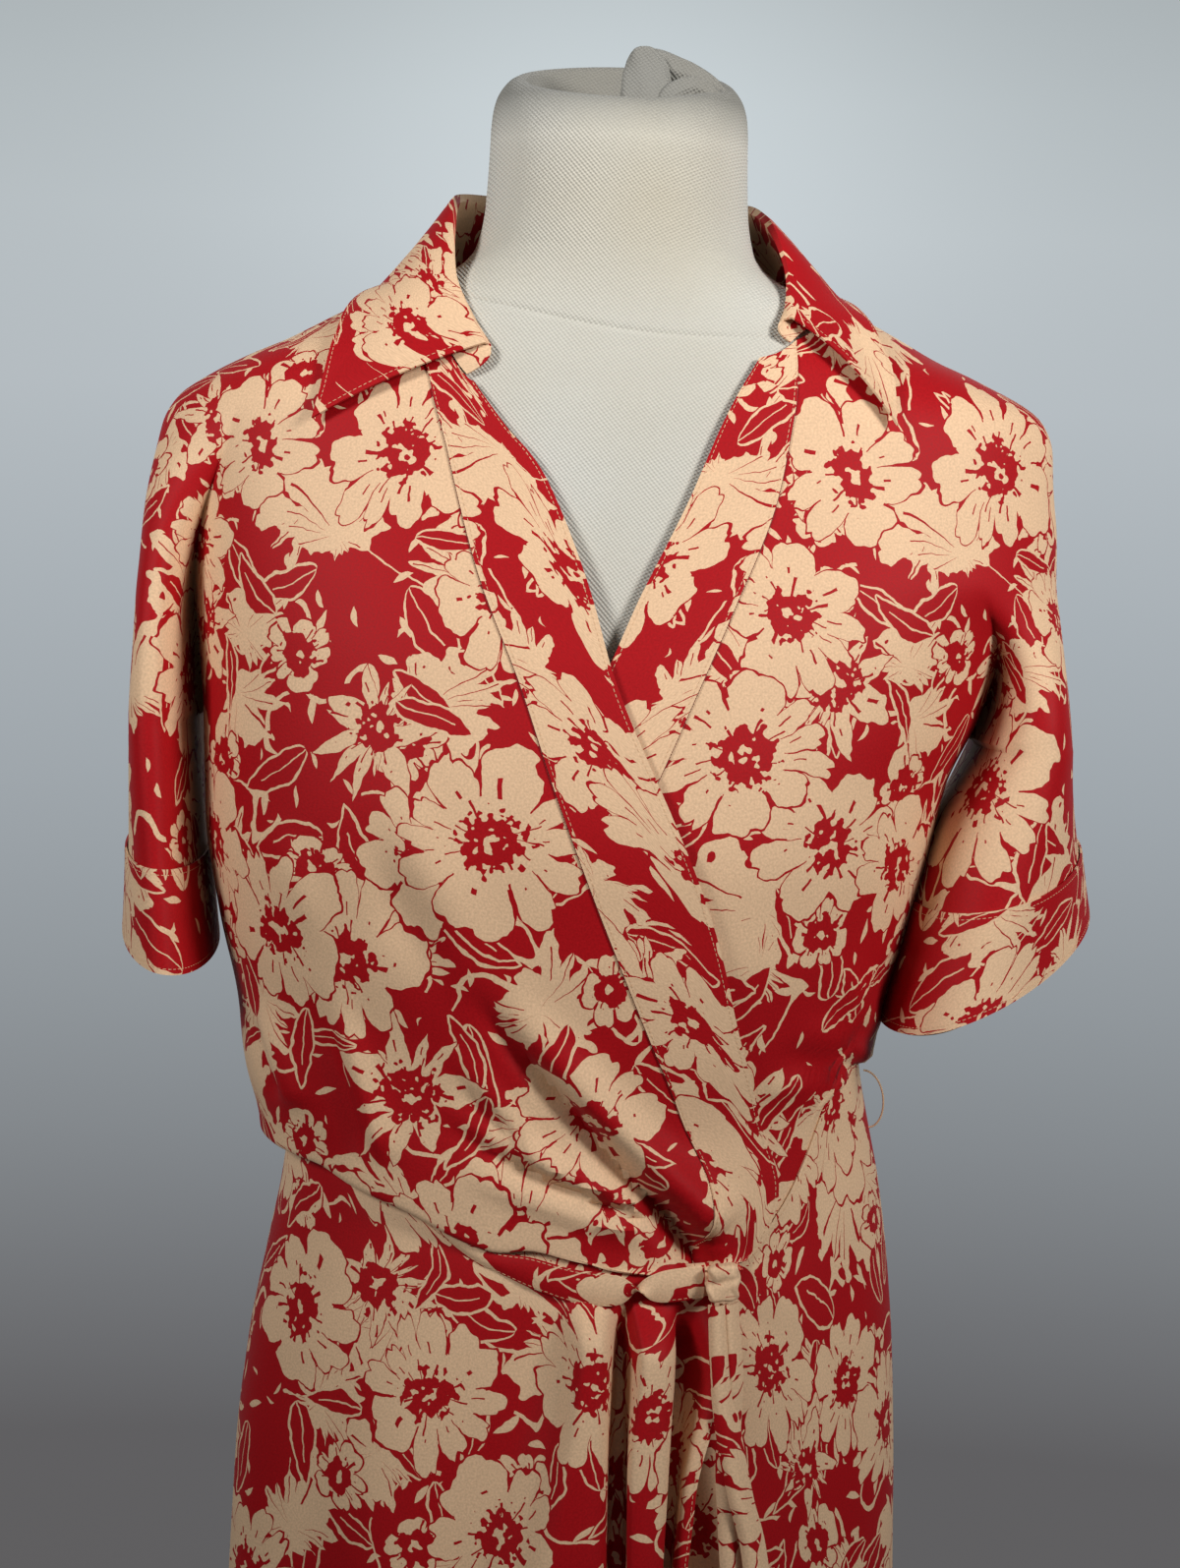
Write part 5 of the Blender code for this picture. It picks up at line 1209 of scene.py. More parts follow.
class Paint:
    """A material under construction: add puts in any node, and math, which Value calls, the Math nodes."""

    def __init__(self, name, world=False):
        self.material = (bpy.data.worlds if world else bpy.data.materials).new(name)
        self.material.use_nodes = True
        self.tree = self.material.node_tree
        self.shader = self.tree.nodes["Background" if world else "Principled BSDF"]

    def add(self, kind, settings=(), inputs=()):
        """A node of the kind, its settings set first, then its sockets' values or links."""
        node = self.tree.nodes.new(kind)
        for name, value in dict(settings).items():
            if name == "stops":
                while len(node.color_ramp.elements) < len(value):
                    node.color_ramp.elements.new(0.5)
                for stop, (place, colour) in zip(node.color_ramp.elements, value):
                    stop.position, stop.color = place, colour
            else:
                setattr(node, name, value)
        for name, value in dict(inputs).items():
            self.set(node.inputs[name], value)
        return node

    def set(self, socket, value):
        """Links a socket to another or to a Value, or gives it a plain value."""
        if isinstance(value, Value):
            value = value.socket
        if isinstance(value, bpy.types.NodeSocket):
            self.tree.links.new(value, socket)
        else:
            socket.default_value = value

    def math(self, operation, *values, clamp=False):
        """A Math node on numbers and Values."""
        node = self.add("ShaderNodeMath", {"operation": operation, "use_clamp": clamp}, enumerate(values))
        return Value(self, node.outputs[0])

    def vector(self, operation, *values, scale=None):
        """A Vector Math node on vectors and colours."""
        node = self.add("ShaderNodeVectorMath", {"operation": operation}, enumerate(values))
        if scale is not None:
            self.set(node.inputs["Scale"], scale)
        return node.outputs["Value" if operation in ("LENGTH", "DOT_PRODUCT") else "Vector"]

    def place(self):
        """The place in the object's own coordinates, in metres."""
        return self.add("ShaderNodeTexCoord").outputs["Object"]

    def parts(self, vector):
        """The three numbers of a vector or a colour."""
        node = self.add("ShaderNodeSeparateXYZ", (), {0: vector})
        return [Value(self, socket) for socket in node.outputs]

    def noise(self, vector, size, detail=1.0, roughness=0.5, flat=True):
        """Noise whose lumps are about size wide, from 0 to 1, as a value and as a colour."""
        node = self.add("ShaderNodeTexNoise", {"noise_dimensions": "2D" if flat else "3D"},
                        {"Vector": vector, "Scale": 1 / size, "Detail": detail, "Roughness": roughness})
        return Value(self, node.outputs["Fac"]), node.outputs["Color"]

    def warped(self, vector, size, reach, detail=1.0):
        """The coordinates moved about by up to half of reach, in lumps about size wide."""
        colour = self.noise(vector, size, detail)[1]
        away = self.vector("SUBTRACT", colour, (0.5, 0.5, 0.5))
        return self.vector("ADD", vector, self.vector("SCALE", away, scale=reach))

    def mix(self, share, first, second, kind="RGBA"):
        """From first to second by share: a colour, or a Value for kind FLOAT."""
        node = self.add("ShaderNodeMix", {"data_type": kind})
        base = {"RGBA": 6, "FLOAT": 2}[kind]
        for index, value in ((0, share), (base, first), (base + 1, second)):
            self.set(node.inputs[index], value)
        socket = node.outputs[{"RGBA": 2, "FLOAT": 0}[kind]]
        return Value(self, socket) if kind == "FLOAT" else socket

    def bump(self, height, distance, strength):
        inputs = {"Height": height, "Distance": distance, "Strength": strength}
        return self.add("ShaderNodeBump", (), inputs).outputs["Normal"]

    def finish(self, **sockets):
        """Sets the shader's sockets, named in small letters, and returns the material."""
        for name, value in sockets.items():
            self.set(self.shader.inputs[name.replace("_", " ").title().replace("Ior", "IOR")], value)
        return self.material


TURN = 6.2832   # once round, in radians


class FlowerPrint:
    """Two-colour flower print on the flat coordinates: layers of motifs, each of which hides those below.

    Each layer scatters one kind of motif, one to a cell of a Voronoi texture, and draws it in polar or
    straight coordinates round the cell's point. ink is 1 where the cloth is dyed red and 0 where it is tan.
    """

    def __init__(self, paint, scale):
        self.paint, self.scale = paint, scale
        self.flat = flat = paint.add("ShaderNodeUVMap", {"uv_map": "cut"}).outputs["UV"]
        self.grain = paint.noise(flat, 0.0070, 0.6)[0]
        self.rough = paint.noise(flat, 0.0040, 0.8)[0]
        self.spot = paint.warped(paint.warped(flat, 0.040, 0.012), 0.0060, 0.0016)
        self.ink = 1.0

    def lay(self, body, ink):
        """Puts a motif over the layers below: body is 1 where it covers them."""
        self.ink = self.paint.mix(body, self.ink, ink, "FLOAT")

    def cells(self, spacing, turn, shift, randomness=0.5):
        """Distances across and up from the cell's own point, and three random numbers of the cell."""
        paint = self.paint
        turned = paint.add("ShaderNodeMapping", (), {
            "Vector": self.spot, "Location": (shift, -1.7 * shift, 0),
            "Rotation": (0, 0, np.radians(turn))}).outputs[0]
        cell = paint.add("ShaderNodeTexVoronoi", {"voronoi_dimensions": "2D", "feature": "F1"},
                         {"Vector": turned, "Scale": 1 / (spacing * self.scale), "Randomness": randomness})
        x, y, _ = paint.parts(paint.vector("SUBTRACT", turned, cell.outputs["Position"]))
        return x, y, paint.parts(cell.outputs["Color"])

    def polar(self, spacing, turn, shift, radius, least, spread, randomness=0.5):
        """Distance as a share of the motif's own radius, the way round, and three random numbers."""
        x, y, (a, b, c) = self.cells(spacing, turn, shift, randomness)
        reach = self.paint.math("SQRT", x * x + y * y) / (radius * (least + spread * a))
        return reach, self.paint.math("ARCTAN2", y, x) + TURN * b, a, b, c

    def petal(self, place, seed):
        """The way across a petal, from -0.5 to 0.5, by its place in their count, and random numbers."""
        number = self.paint.math("FLOOR", place)
        white = self.paint.add("ShaderNodeTexWhiteNoise", {"noise_dimensions": "1D"}, {"W": number + seed})
        return place - number - 0.5, *self.paint.parts(white.outputs["Color"])

    def lying(self, spacing, turn, shift, randomness):
        """Distances along and across a motif turned at random in its cell, and two random numbers."""
        x, y, (a, b, c) = self.cells(spacing, turn, shift, randomness)
        flat = self.paint.add("ShaderNodeCombineXYZ", (), {0: x, 1: y}).outputs[0]
        turned = self.paint.add("ShaderNodeVectorRotate", {"rotation_type": "Z_AXIS"},
                                {"Vector": flat, "Angle": TURN * b})
        return *self.paint.parts(turned.outputs[0])[:2], a, c

    def flower(self, spacing, turn, shift, radius, petals, heart=0.185, pointed=False):
        """An open flower: lobed petals to an uneven outline, thin gaps between them and a ragged heart."""
        paint, radius = self.paint, radius * self.scale
        reach, way, a, _, c = self.polar(spacing, turn, shift, radius, 0.84, 0.26)
        way = way + 0.28 * paint.math("SINE", way * 2 + c * 9)
        count = paint.math("FLOOR", petals + 2.99 * c)
        t, p, q, r = self.petal(way * count / TURN, 31.7 * a)
        half = 2 * abs(t)
        if pointed:
            outline = (0.50 + 0.50 * p) * (1.06 - 0.62 * half)
        else:
            notch = paint.math("MAXIMUM", 1 - abs(t + (r - 0.5) * 0.5) * 8, 0.0)
            outline = (0.84 + 0.18 * p) * (1.02 - (0.24 + 0.20 * q) * half ** 3 - 0.08 * notch)
        edge = reach - outline - (self.grain - 0.5) * 0.14
        gap = (0.5 - abs(t)) * reach * (TURN * radius / petals)
        gaps = (gap < 0.00045 + 0.0014 * (reach - 0.3)) * (reach > 0.40 + 0.40 * q)
        ragged = abs(reach - heart) - heart * 0.62 + (self.rough - 0.5) * 0.46
        strokes = ((abs(t - 0.30 * (r - 0.5) - 0.12 * (reach - 0.5)) < 0.035)
                   * (abs(reach - 0.50 - 0.10 * p) < 0.10 * r) * (reach > 2 * heart))
        rays = (abs(t + 0.22) < 0.05) * (reach < heart * (1.7 + 1.2 * q)) * (reach > heart)
        red = edge > 0.0
        for mark in (ragged < 0.0, rays, gaps, strokes):
            red = paint.math("MAXIMUM", red, mark)
        self.lay(edge < 0.0013 / radius, red)

    def burst(self, spacing, turn, shift, radius, points):
        """A tan tuft of jagged leaves, fuller on one side, split by thin red lines."""
        paint, radius = self.paint, radius * self.scale
        reach, way, _, b, c = self.polar(spacing, turn, shift, radius, 0.8, 0.4, 0.6)
        leaf = (way + 0.35 * paint.math("SINE", way * 3 + c * 7)) * (points / TURN)
        t, p, q, r = self.petal(leaf, 17.3 * b)
        fuller = 0.66 + 0.34 * paint.math("COSINE", way)
        outline = fuller * (0.62 + 0.45 * p) * (1.05 - 0.9 * abs(t)) - (self.grain - 0.5) * 0.35
        veins = (abs(t - 0.2 * (q - 0.5)) < 0.035) * (reach > 0.35 * r) * (reach < 0.75 * fuller)
        self.lay(reach < outline, veins)

    def leaf(self, spacing, turn, shift, long, wide):
        """A pointed red leaf with a tan outline and midrib."""
        paint = self.paint
        along, aside, a, c = self.lying(spacing, turn, shift, 0.7)
        share = paint.math("MULTIPLY_ADD", along, 1 / (long * self.scale), 0.5, clamp=True)
        aside = aside - (c - 0.5) * long * 0.9 * share * (1 - share)
        width = (wide * self.scale) * (0.8 + 0.5 * a) * share ** 0.6 * (1 - share) ** 0.8
        edge = abs(aside) - width - (self.grain - 0.5) * 0.0020
        inside = (edge < 0.0) * (share > 0.01) * (share < 0.99)
        rib = (abs(aside) < 0.00035) * (share < 0.72)
        self.lay(inside, 1 - paint.math("MAXIMUM", edge > -0.0013, rib))

    def flecks(self, spacing, turn, shift, long):
        """Small curved tan strokes on the red ground."""
        along, aside, a, c = self.lying(spacing, turn, shift, 0.8)
        share = along / (long * (0.5 + a))
        bent = aside - (c - 0.5) * 0.6 * long * share * share
        self.lay(abs(bent) < 0.0014 * (1 - share * share) * (0.4 + a), 0.0)

    def stems(self, size, width):
        """Thin wandering tan lines: where a slow noise passes its middle."""
        slow = self.paint.noise(self.spot, size, 1.0)[0]
        broken = self.paint.noise(self.spot, size * 0.6, 0.0)[0]
        self.lay((abs(slow - 0.5) < width) * (broken > 0.47), 0.0)


def print_cloth(settings):
    """Crepe with the two-colour flower print: dye, an uneven weave, pebbled bump and a soft low sheen."""
    paint = Paint("print_crepe")
    motifs = FlowerPrint(paint, settings.motif_scale)
    motifs.stems(0.055, 0.010)
    motifs.flecks(0.021, 20, 0.013, 0.0045)
    motifs.burst(0.094, 12, 0.31, 0.045, 10)
    motifs.leaf(0.066, 40, 0.72, 0.042, 0.018)
    motifs.burst(0.098, 57, 1.17, 0.042, 11)
    motifs.leaf(0.060, 75, 0.43, 0.036, 0.016)
    motifs.flower(0.080, 33, 0.90, 0.0170, 5, heart=0.30)
    motifs.flower(0.155, 8, 0.24, 0.039, 9, pointed=True)
    motifs.leaf(0.085, 110, 1.43, 0.040, 0.015)
    motifs.flower(0.152, 25, 0.55, 0.0375, 7)
    motifs.flower(0.150, 71, 1.90, 0.0365, 7)
    motifs.flower(0.156, 48, 2.60, 0.0395, 8)
    fibre = paint.noise(motifs.flat, 0.0011, 1.0)[0]
    slub = paint.noise(motifs.flat, 0.030, 2.0)[0]
    colour = paint.mix(motifs.ink, (*settings.tan, 1), (*settings.red, 1))
    colour = paint.vector("SCALE", colour, scale=0.94 + 0.08 * slub + 0.38 * (fibre - 0.5))
    return paint.finish(base_color=colour, roughness=0.62 + 0.10 * (fibre - 0.5), sheen_weight=0.02,
                        sheen_roughness=0.4, specular_ior_level=0.15, normal=paint.bump(fibre, 0.00012, 0.55))


def jersey_cloth(settings):
    """Cream knitted cover: fine diagonal ribs of stitches over the body, with faint yellowing in patches, a
    warmer spot on the neck's front, painted shade in the cap's hollow and a top darkened by painted shade.
    """
    paint = Paint("jersey_cover")
    place = paint.place()
    x, _, z = paint.parts(place)
    ribs = paint.math("SINE", (x + z * 0.9) * (TURN / 0.0021))
    wales = paint.math("SINE", (x * 0.6 - z * 1.2) * (TURN / 0.0019))
    mesh = ribs * 0.55 + wales * 0.45
    patch = paint.noise(place, 0.09, 2.0, flat=False)[0]
    yellowing_and_shade = paint.math("MULTIPLY_ADD", patch, 1.2, -0.35, clamp=True)
    # the second spot paints shade into the cap's hollow with the yellowed colour
    for spot, reach in WARM_SPOT_AND_HOLLOW_SHADE:
        away = paint.vector("LENGTH", paint.vector("SUBTRACT", place, spot))
        yellowing_and_shade = yellowing_and_shade + 0.8 * paint.math("MULTIPLY_ADD", away, -1 / reach, 1.0, clamp=True)
    colour = paint.mix(yellowing_and_shade, (*settings.cream, 1), (*settings.yellowed_and_shaded, 1))
    # painted shade: the cover is darkened towards its top, by up to RIM_SHADE's share
    start, reach, share = RIM_SHADE
    grey = paint.math("MULTIPLY_ADD", z, 1 / reach, -start / reach, clamp=True)
    colour = paint.vector("SCALE", colour, scale=(0.93 + 0.11 * mesh) * (1 - share * grey))
    return paint.finish(base_color=colour, roughness=0.85, sheen_weight=0.1, specular_ior_level=0.2,
                        normal=paint.bump(mesh, 0.00030, 0.8))


def painted_metal(name, colour, roughness):
    """Satin paint on steel: a faint orange-peel bump and slightly uneven gloss."""
    paint = Paint(name)
    place = paint.place()
    peel = paint.noise(place, 0.0022, 1.0, flat=False)[0]
    dust = paint.noise(place, 0.06, 3.0, flat=False)[0]
    tint = paint.vector("SCALE", tuple(colour), scale=0.95 + 0.08 * dust)
    return paint.finish(base_color=tint, roughness=roughness + 0.14 * (dust - 0.5), specular_ior_level=0.5,
                        normal=paint.bump(peel, 0.00010, 0.3))


def thread_finish(name, colour):
    """Twisted sewing thread."""
    paint = Paint(name)
    place = paint.place()
    ply = paint.noise(place, 0.0006, 1.0, flat=False)[0]
    tint = paint.vector("SCALE", tuple(colour), scale=0.85 + 0.30 * ply)
    return paint.finish(base_color=tint, roughness=0.6, normal=paint.bump(ply, 0.0001, 0.4))


# ---- stitches
def stitch_row(line, normals, pitch, length, radius):
    """Points and faces of a row of stitches: spindles of four sides laid along a line."""
    along = run_lengths(line[None], 1)[0]
    start = np.arange(0.5 * pitch, along[-1] - length, pitch)
    shares = np.array([0.0, 0.22, 0.78, 1.0])
    at = start[:, None] + length * shares
    middle = np.stack([np.interp(at, along, line[:, k]) for k in range(3)], axis=-1)
    out = np.stack([np.interp(at, along, normals[:, k]) for k in range(3)], axis=-1)
    ahead = middle[:, -1:] - middle[:, :1]
    aside = np.cross(ahead, out)
    aside /= np.linalg.norm(aside, axis=-1, keepdims=True)
    swell = radius * np.array([0.25, 1.0, 1.0, 0.25])[:, None]
    turn = np.radians([45, 135, 225, 315])
    across, above = [(swell * way)[None, :, :, None] for way in (np.cos(turn), np.sin(turn))]
    rings = middle[:, :, None] + across * aside[:, :, None] + above * out[:, :, None]
    index = np.arange(rings.size // 3).reshape(rings.shape[:3])
    index = np.concatenate([index, index[:, :, :1]], axis=2)
    faces = np.stack([index[:, :-1, :-1], index[:, :-1, 1:], index[:, 1:, 1:], index[:, 1:, :-1]], axis=-1)
    ends = np.concatenate([index[:, 0, :4][:, ::-1], index[:, -1, :4]])
    return rings.reshape(-1, 3), np.concatenate([faces.reshape(-1, 4), ends])


def line_on(sheet, at, toward, share, lift):
    """A line on a grid sheet, part of the way from one row of its points to the next, and lifted off it."""
    at, toward, normals = sheet.index[at], sheet.index[toward], sheet.unit_normals()
    out = normals[at] * (1 - share) + normals[toward] * share
    return sheet.points[at] * (1 - share) + sheet.points[toward] * share + out * lift, out


AT = np.s_
BAND_LINES = ((AT[:, 0], AT[:, 1], 0.45, 1, BAND_PROUD), (AT[:, -1], AT[:, -2], 0.60, 1, BAND_PROUD))
CUFF_LINES = ((AT[-1], AT[-2], 0.9, 1, CUFF_STEP), (AT[0], AT[1], 0.9, 1, CUFF_STEP))
HEM_LINE = (AT[-3], AT[-2], 0.0, 1, 0.0)
STITCH_LINES = {  # sheet: its points, those next to them, share of the way there, side of the cloth, lift
    "right_front_band": BAND_LINES,
    "left_front_band": BAND_LINES,
    "collar": ((AT[-2, 1:-1], AT[-3, 1:-1], 0.0, 1, 0.0),
               (AT[STAND_STEPS + 2:-1, 1], AT[STAND_STEPS + 2:-1, 0], 0.2, 1, 0.0),
               (AT[STAND_STEPS + 2:-1, -2], AT[STAND_STEPS + 2:-1, -1], 0.2, 1, 0.0)),
    "right_cuff": CUFF_LINES,
    "left_cuff": CUFF_LINES,
    "waist_tie": [(AT[near], AT[far], 0.2, side, 0.0)
                  for near, far in ((1, 0), (-2, -1)) for side in (-1, 1)],
    "right_front_skirt": (*[(AT[3:, -4], AT[3:, -3], 0.0, side, 0.0) for side in (-1, 1)], HEM_LINE),
    "left_front_skirt": (HEM_LINE,),
    "back_skirt": (HEM_LINE,),
}
SEAM_SHADE_LINE = (AT[:, 0], AT[:, 1], -0.09, 1, 0.0)   # in the well of a band's seam: a dark thread line that paints the well's shadow


# ---- settings
def colour_setting(name, default, description):
    """A colour that the user can change."""
    return bpy.props.FloatVectorProperty(name=name, description=description, default=default, size=3,
                                         subtype="COLOR", min=0.0, max=1.0)


def length_setting(name, default, description):
    """A length that the user can change."""
    return bpy.props.FloatProperty(name=name, description=description, default=default, unit="LENGTH",
                                   min=0.0001, precision=4)


class ClothSettings(bpy.types.PropertyGroup):
    """Cloth, print and topstitching"""
    wall: length_setting("Cloth wall", 0.0010, "Thickness of one layer of cloth")
    red: colour_setting("Red", (0.375, 0.0030, 0.0062), "Dye of the ground, the leaves and the outlines")
    tan: colour_setting("Tan", (0.74, 0.49, 0.30), "Colour of the flowers")
    motif_scale: bpy.props.FloatProperty(name="Motif scale", default=1.0, min=0.2, max=3.0,
                                         description="Size of the print's flowers and leaves")
    thread: colour_setting("Thread", (0.66, 0.42, 0.24), "Colour of the topstitching")
    # dark colour of the seam line, which paints the shadow in the seam's well as well as thread
    seam: colour_setting("Seam", (0.16, 0.035, 0.025), "Colour of the thread in the well of a seam")
    stitch_pitch: length_setting("Stitch pitch", 0.0026, "From the start of one stitch to the next")
    stitch_length: length_setting("Stitch length", 0.0018, "Length of one stitch")
    stitch_radius: length_setting("Thread radius", 0.00020, "Half the thickness of the thread")


class FormSettings(bpy.types.PropertyGroup):
    """Finishes of the form and its stand"""
    cream: colour_setting("Cream", (0.621, 0.602, 0.541), "Jersey cover of the form")
    # also the colour of the painted shade in the cap's hollow
    yellowed_and_shaded: colour_setting("Yellowed cream", (0.555, 0.505, 0.405), "The cover's darker patches")
    plate: colour_setting("Plate", (0.75, 0.72, 0.66), "Paint of the plate under the form")
    steel: colour_setting("Stand", (0.80, 0.78, 0.74), "Paint of the pole and the base")


class StudioSettings(bpy.types.PropertyGroup):
    """Camera, light and floor"""
    lens: bpy.props.FloatProperty(name="Lens", default=64.06, unit="CAMERA", min=10.0,
                                  description="Focal length for a 36 mm long side")
    key: bpy.props.FloatProperty(name="Key light", default=5.2, min=0.0, unit="POWER",
                                 description="Power of the large light above the front")
    floor: colour_setting("Floor", (0.62, 0.63, 0.65), "Colour of the floor")


# ---- operators
MADE = {}      # sheets that later pieces are laid on


def cloth():
    """The print material, made once."""
    if "print" not in MADE:
        MADE["print"] = print_cloth(bpy.context.scene.dress_cloth)
    return MADE["print"]


class DRESS_OT_bodice(bpy.types.Operator):
    """Builds the back, the two fronts and their bands"""
    bl_idname = "dress.bodice"
    bl_label = "Bodice"

    def execute(self, context):
        settings = context.scene.dress_cloth
        sheets = bodice_sheets()
        for name in ("right_front", "left_front", "back_bodice"):
            sheets[name].flatten()
        share_normals(list(sheets.values()))
        for name, sheet in sheets.items():
            x, z = sheet.points[:, 0], sheet.points[:, 2]
            sheet.raise_by(ridges(FOLDS[name.replace("_band", "")], x, z))
        share_normals(list(sheets.values()))
        for name, sheet in sheets.items():
            lift = BAND_PROUD if name.endswith("band") else 0.0
            sheet.build(cloth(), settings.wall, lift, stands_for=[name])
        MADE.update(sheets)
        return {"FINISHED"}


class DRESS_OT_cuffs(bpy.types.Operator):
    """Builds the two turned-back cuffs"""
    bl_idname = "dress.cuffs"
    bl_label = "Cuffs"

    def execute(self, context):
        settings = context.scene.dress_cloth
        for name, side in (("right_cuff", -1), ("left_cuff", 1)):
            sheet = cuff_sheet(name, side)
            outward = sheet.points[sheet.faces].mean(axis=1) - sheet.points.mean(axis=0)
            if (face_normals(sheet.points, sheet.faces) * outward).sum() < 0:
                sheet.turn_over()
            share_normals([sheet])
            MADE[name] = sheet
            sheet.build(cloth(), settings.wall, lift=CUFF_STEP, stands_for=[name])
        return {"FINISHED"}


class DRESS_OT_collar(bpy.types.Operator):
    """Builds the collar with its stand"""
    bl_idname = "dress.collar"
    bl_label = "Collar"

    def execute(self, context):
        sheet = collar_sheet()
        MADE["collar"] = sheet
        sheet.build(cloth(), context.scene.dress_cloth.wall, stands_for=["collar"])
        return {"FINISHED"}


class DRESS_OT_skirts(bpy.types.Operator):
    """Builds the back skirt, the under skirt and the pleated over skirt"""
    bl_idname = "dress.skirts"
    bl_label = "Skirts"

    def execute(self, context):
        for name, sheet in skirt_sheets().items():
            MADE[name] = sheet
            sheet.build(cloth(), context.scene.dress_cloth.wall, stands_for=[name])
        return {"FINISHED"}


class DRESS_OT_tie(bpy.types.Operator):
    """Builds the strap round the waist, its knot and its hanging ends"""
    bl_idname = "dress.tie"
    bl_label = "Tie"

    def execute(self, context):
        settings = context.scene.dress_cloth
        MADE["waist_tie"] = tie_sheet()
        MADE["waist_tie"].build(cloth(), settings.wall, stands_for=["waist_tie"])
        for name, rows in TAILS.items():
            tail_sheet(name, rows).build(cloth(), settings.wall, stands_for=[name])
        solid("tie_knot_cloth", knot_rings(), cloth(), flat_from=KNOT_PRINT, stands_for=["tie_knot"])
        thread = thread_finish("loop_thread", settings.thread)
        solid("side_loop_thread", loop_rings(), thread, stands_for=["side_loop"])
        return {"FINISHED"}


class DRESS_OT_stitches(bpy.types.Operator):
    """Builds the topstitching of bands, collar, cuffs, tie and skirt, and dark thread lines in the band seams
    that paint their wells' shadow
    """
    bl_idname = "dress.stitches"
    bl_label = "Topstitching"

    def execute(self, context):
        settings = context.scene.dress_cloth
        half = settings.wall / 2

        def put_lines(name, sheet, lines, finish, pitch, length):
            """One object of the rows of stitches along a sheet's lines."""
            rows = [line_on(sheet, *place, side * half + lift) for *place, side, lift in lines]
            made = [stitch_row(*row, pitch, length, settings.stitch_radius) for row in rows]
            put(name, *together(made), None, finish)

        finish = thread_finish("topstitch_thread", settings.thread)
        for name, lines in STITCH_LINES.items():
            sheet = MADE[name]
            if name == "left_front_skirt":
                top = sheet.points[sheet.index[3]]
                angle = np.degrees(np.arctan2(top[:, 0], -top[:, 1]))
                shown = (angle > EDGE_STITCHED[0]) & (angle < EDGE_STITCHED[1])
                lines = (*lines, (AT[2, shown], AT[3, shown], 0.0, 1, 0.0))
            put_lines(name + "_stitches", sheet, lines, finish, settings.stitch_pitch, settings.stitch_length)
        # dark lines of close stitches along the band seams: painted shadow of each seam's well, drawn as
        # thread
        shade = thread_finish("seam_shadow_thread", settings.seam)
        for name in ("right_front_band", "left_front_band"):
            put_lines(name + "_seam", MADE[name], [SEAM_SHADE_LINE], shade, SEAM_SHADE_PITCH, SEAM_SHADE_LENGTH)
        return {"FINISHED"}


class DRESS_OT_form(bpy.types.Operator):
    """Builds the jersey-covered torso, the neck and the tucked end of the cover"""
    bl_idname = "dress.form"
    bl_label = "Dress form"

    def execute(self, context):
        jersey = jersey_cloth(context.scene.dress_form)
        for name, rings in form_rings().items():
            solid(name + "_cover", rings, jersey, slot="jersey_cover", stands_for=[name])
        rolls = together([closed(roll_rings(roll)) for roll in TWIST_ROLLS])
        put("neck_twist_cover", *rolls, None, jersey, "jersey_cover", stands_for=["neck_twist"],
            flat_angle=80)
        return {"FINISHED"}


class DRESS_OT_stand(bpy.types.Operator):
    """Builds the plate, the pole and the round base"""
    bl_idname = "dress.stand"
    bl_label = "Stand"

    def execute(self, context):
        settings = context.scene.dress_form
        paints = {"stand_plate_paint": painted_metal("stand_plate_paint", settings.plate, 0.5),
                  "stand_paint": painted_metal("stand_paint", settings.steel, 0.38)}
        for name, slot, profile in stand_profiles():
            rings = [placed(around(96), radius, height) for radius, height in profile]
            solid(name + "_part", rings, paints[slot], slot=slot, stands_for=[name], flat_angle=35)
        return {"FINISHED"}


class DRESS_OT_studio(bpy.types.Operator):
    """Builds the floor, the lights, the surroundings and the camera"""
    bl_idname = "dress.studio"
    bl_label = "Studio"

    def execute(self, context):
        studio(context.scene)
        return {"FINISHED"}


class DRESS_PT_panel(bpy.types.Panel):
    """Lists the settings and the operators"""
    bl_idname = "DRESS_PT_panel"
    bl_label = "Wrap Dress"
    bl_space_type = "VIEW_3D"
    bl_region_type = "UI"
    bl_category = "Wrap Dress"

    def draw(self, context):
        scene = context.scene
        for group in (scene.dress_cloth, scene.dress_form, scene.dress_studio):
            box = self.layout.box()
            for name in group.__annotations__:
                box.prop(group, name)
        for operator in OPERATORS:
            self.layout.operator(operator.bl_idname)


# ---- small solids
def knot_rings():
    """The knot: rounded oblong rings, swollen in the middle."""
    level = -np.cos(np.pi * (np.arange(24) + 0.5) / 24)
    swell = (1 - np.abs(level[:, None]) ** 6) ** 0.2
    turn = np.radians(around(48))
    x, y = [half * swell * np.sign(way) * np.abs(way) ** power
            for half, way, power in zip(KNOT_HALF, (np.cos(turn), np.sin(turn)), KNOT_FULLNESS)]
    z = KNOT_HALF[2] * level[:, None] + 0.12 * x
    depth, width, uneven = KNOT_TURNS
    dent = depth * np.exp(-((z - 0.3 * x - 0.001) / width) ** 2) + uneven * np.sin(x * 900 + z * 500)
    return np.stack([x + uneven * np.sin(z * 700), y + dent, z], axis=-1) + KNOT_CENTRE


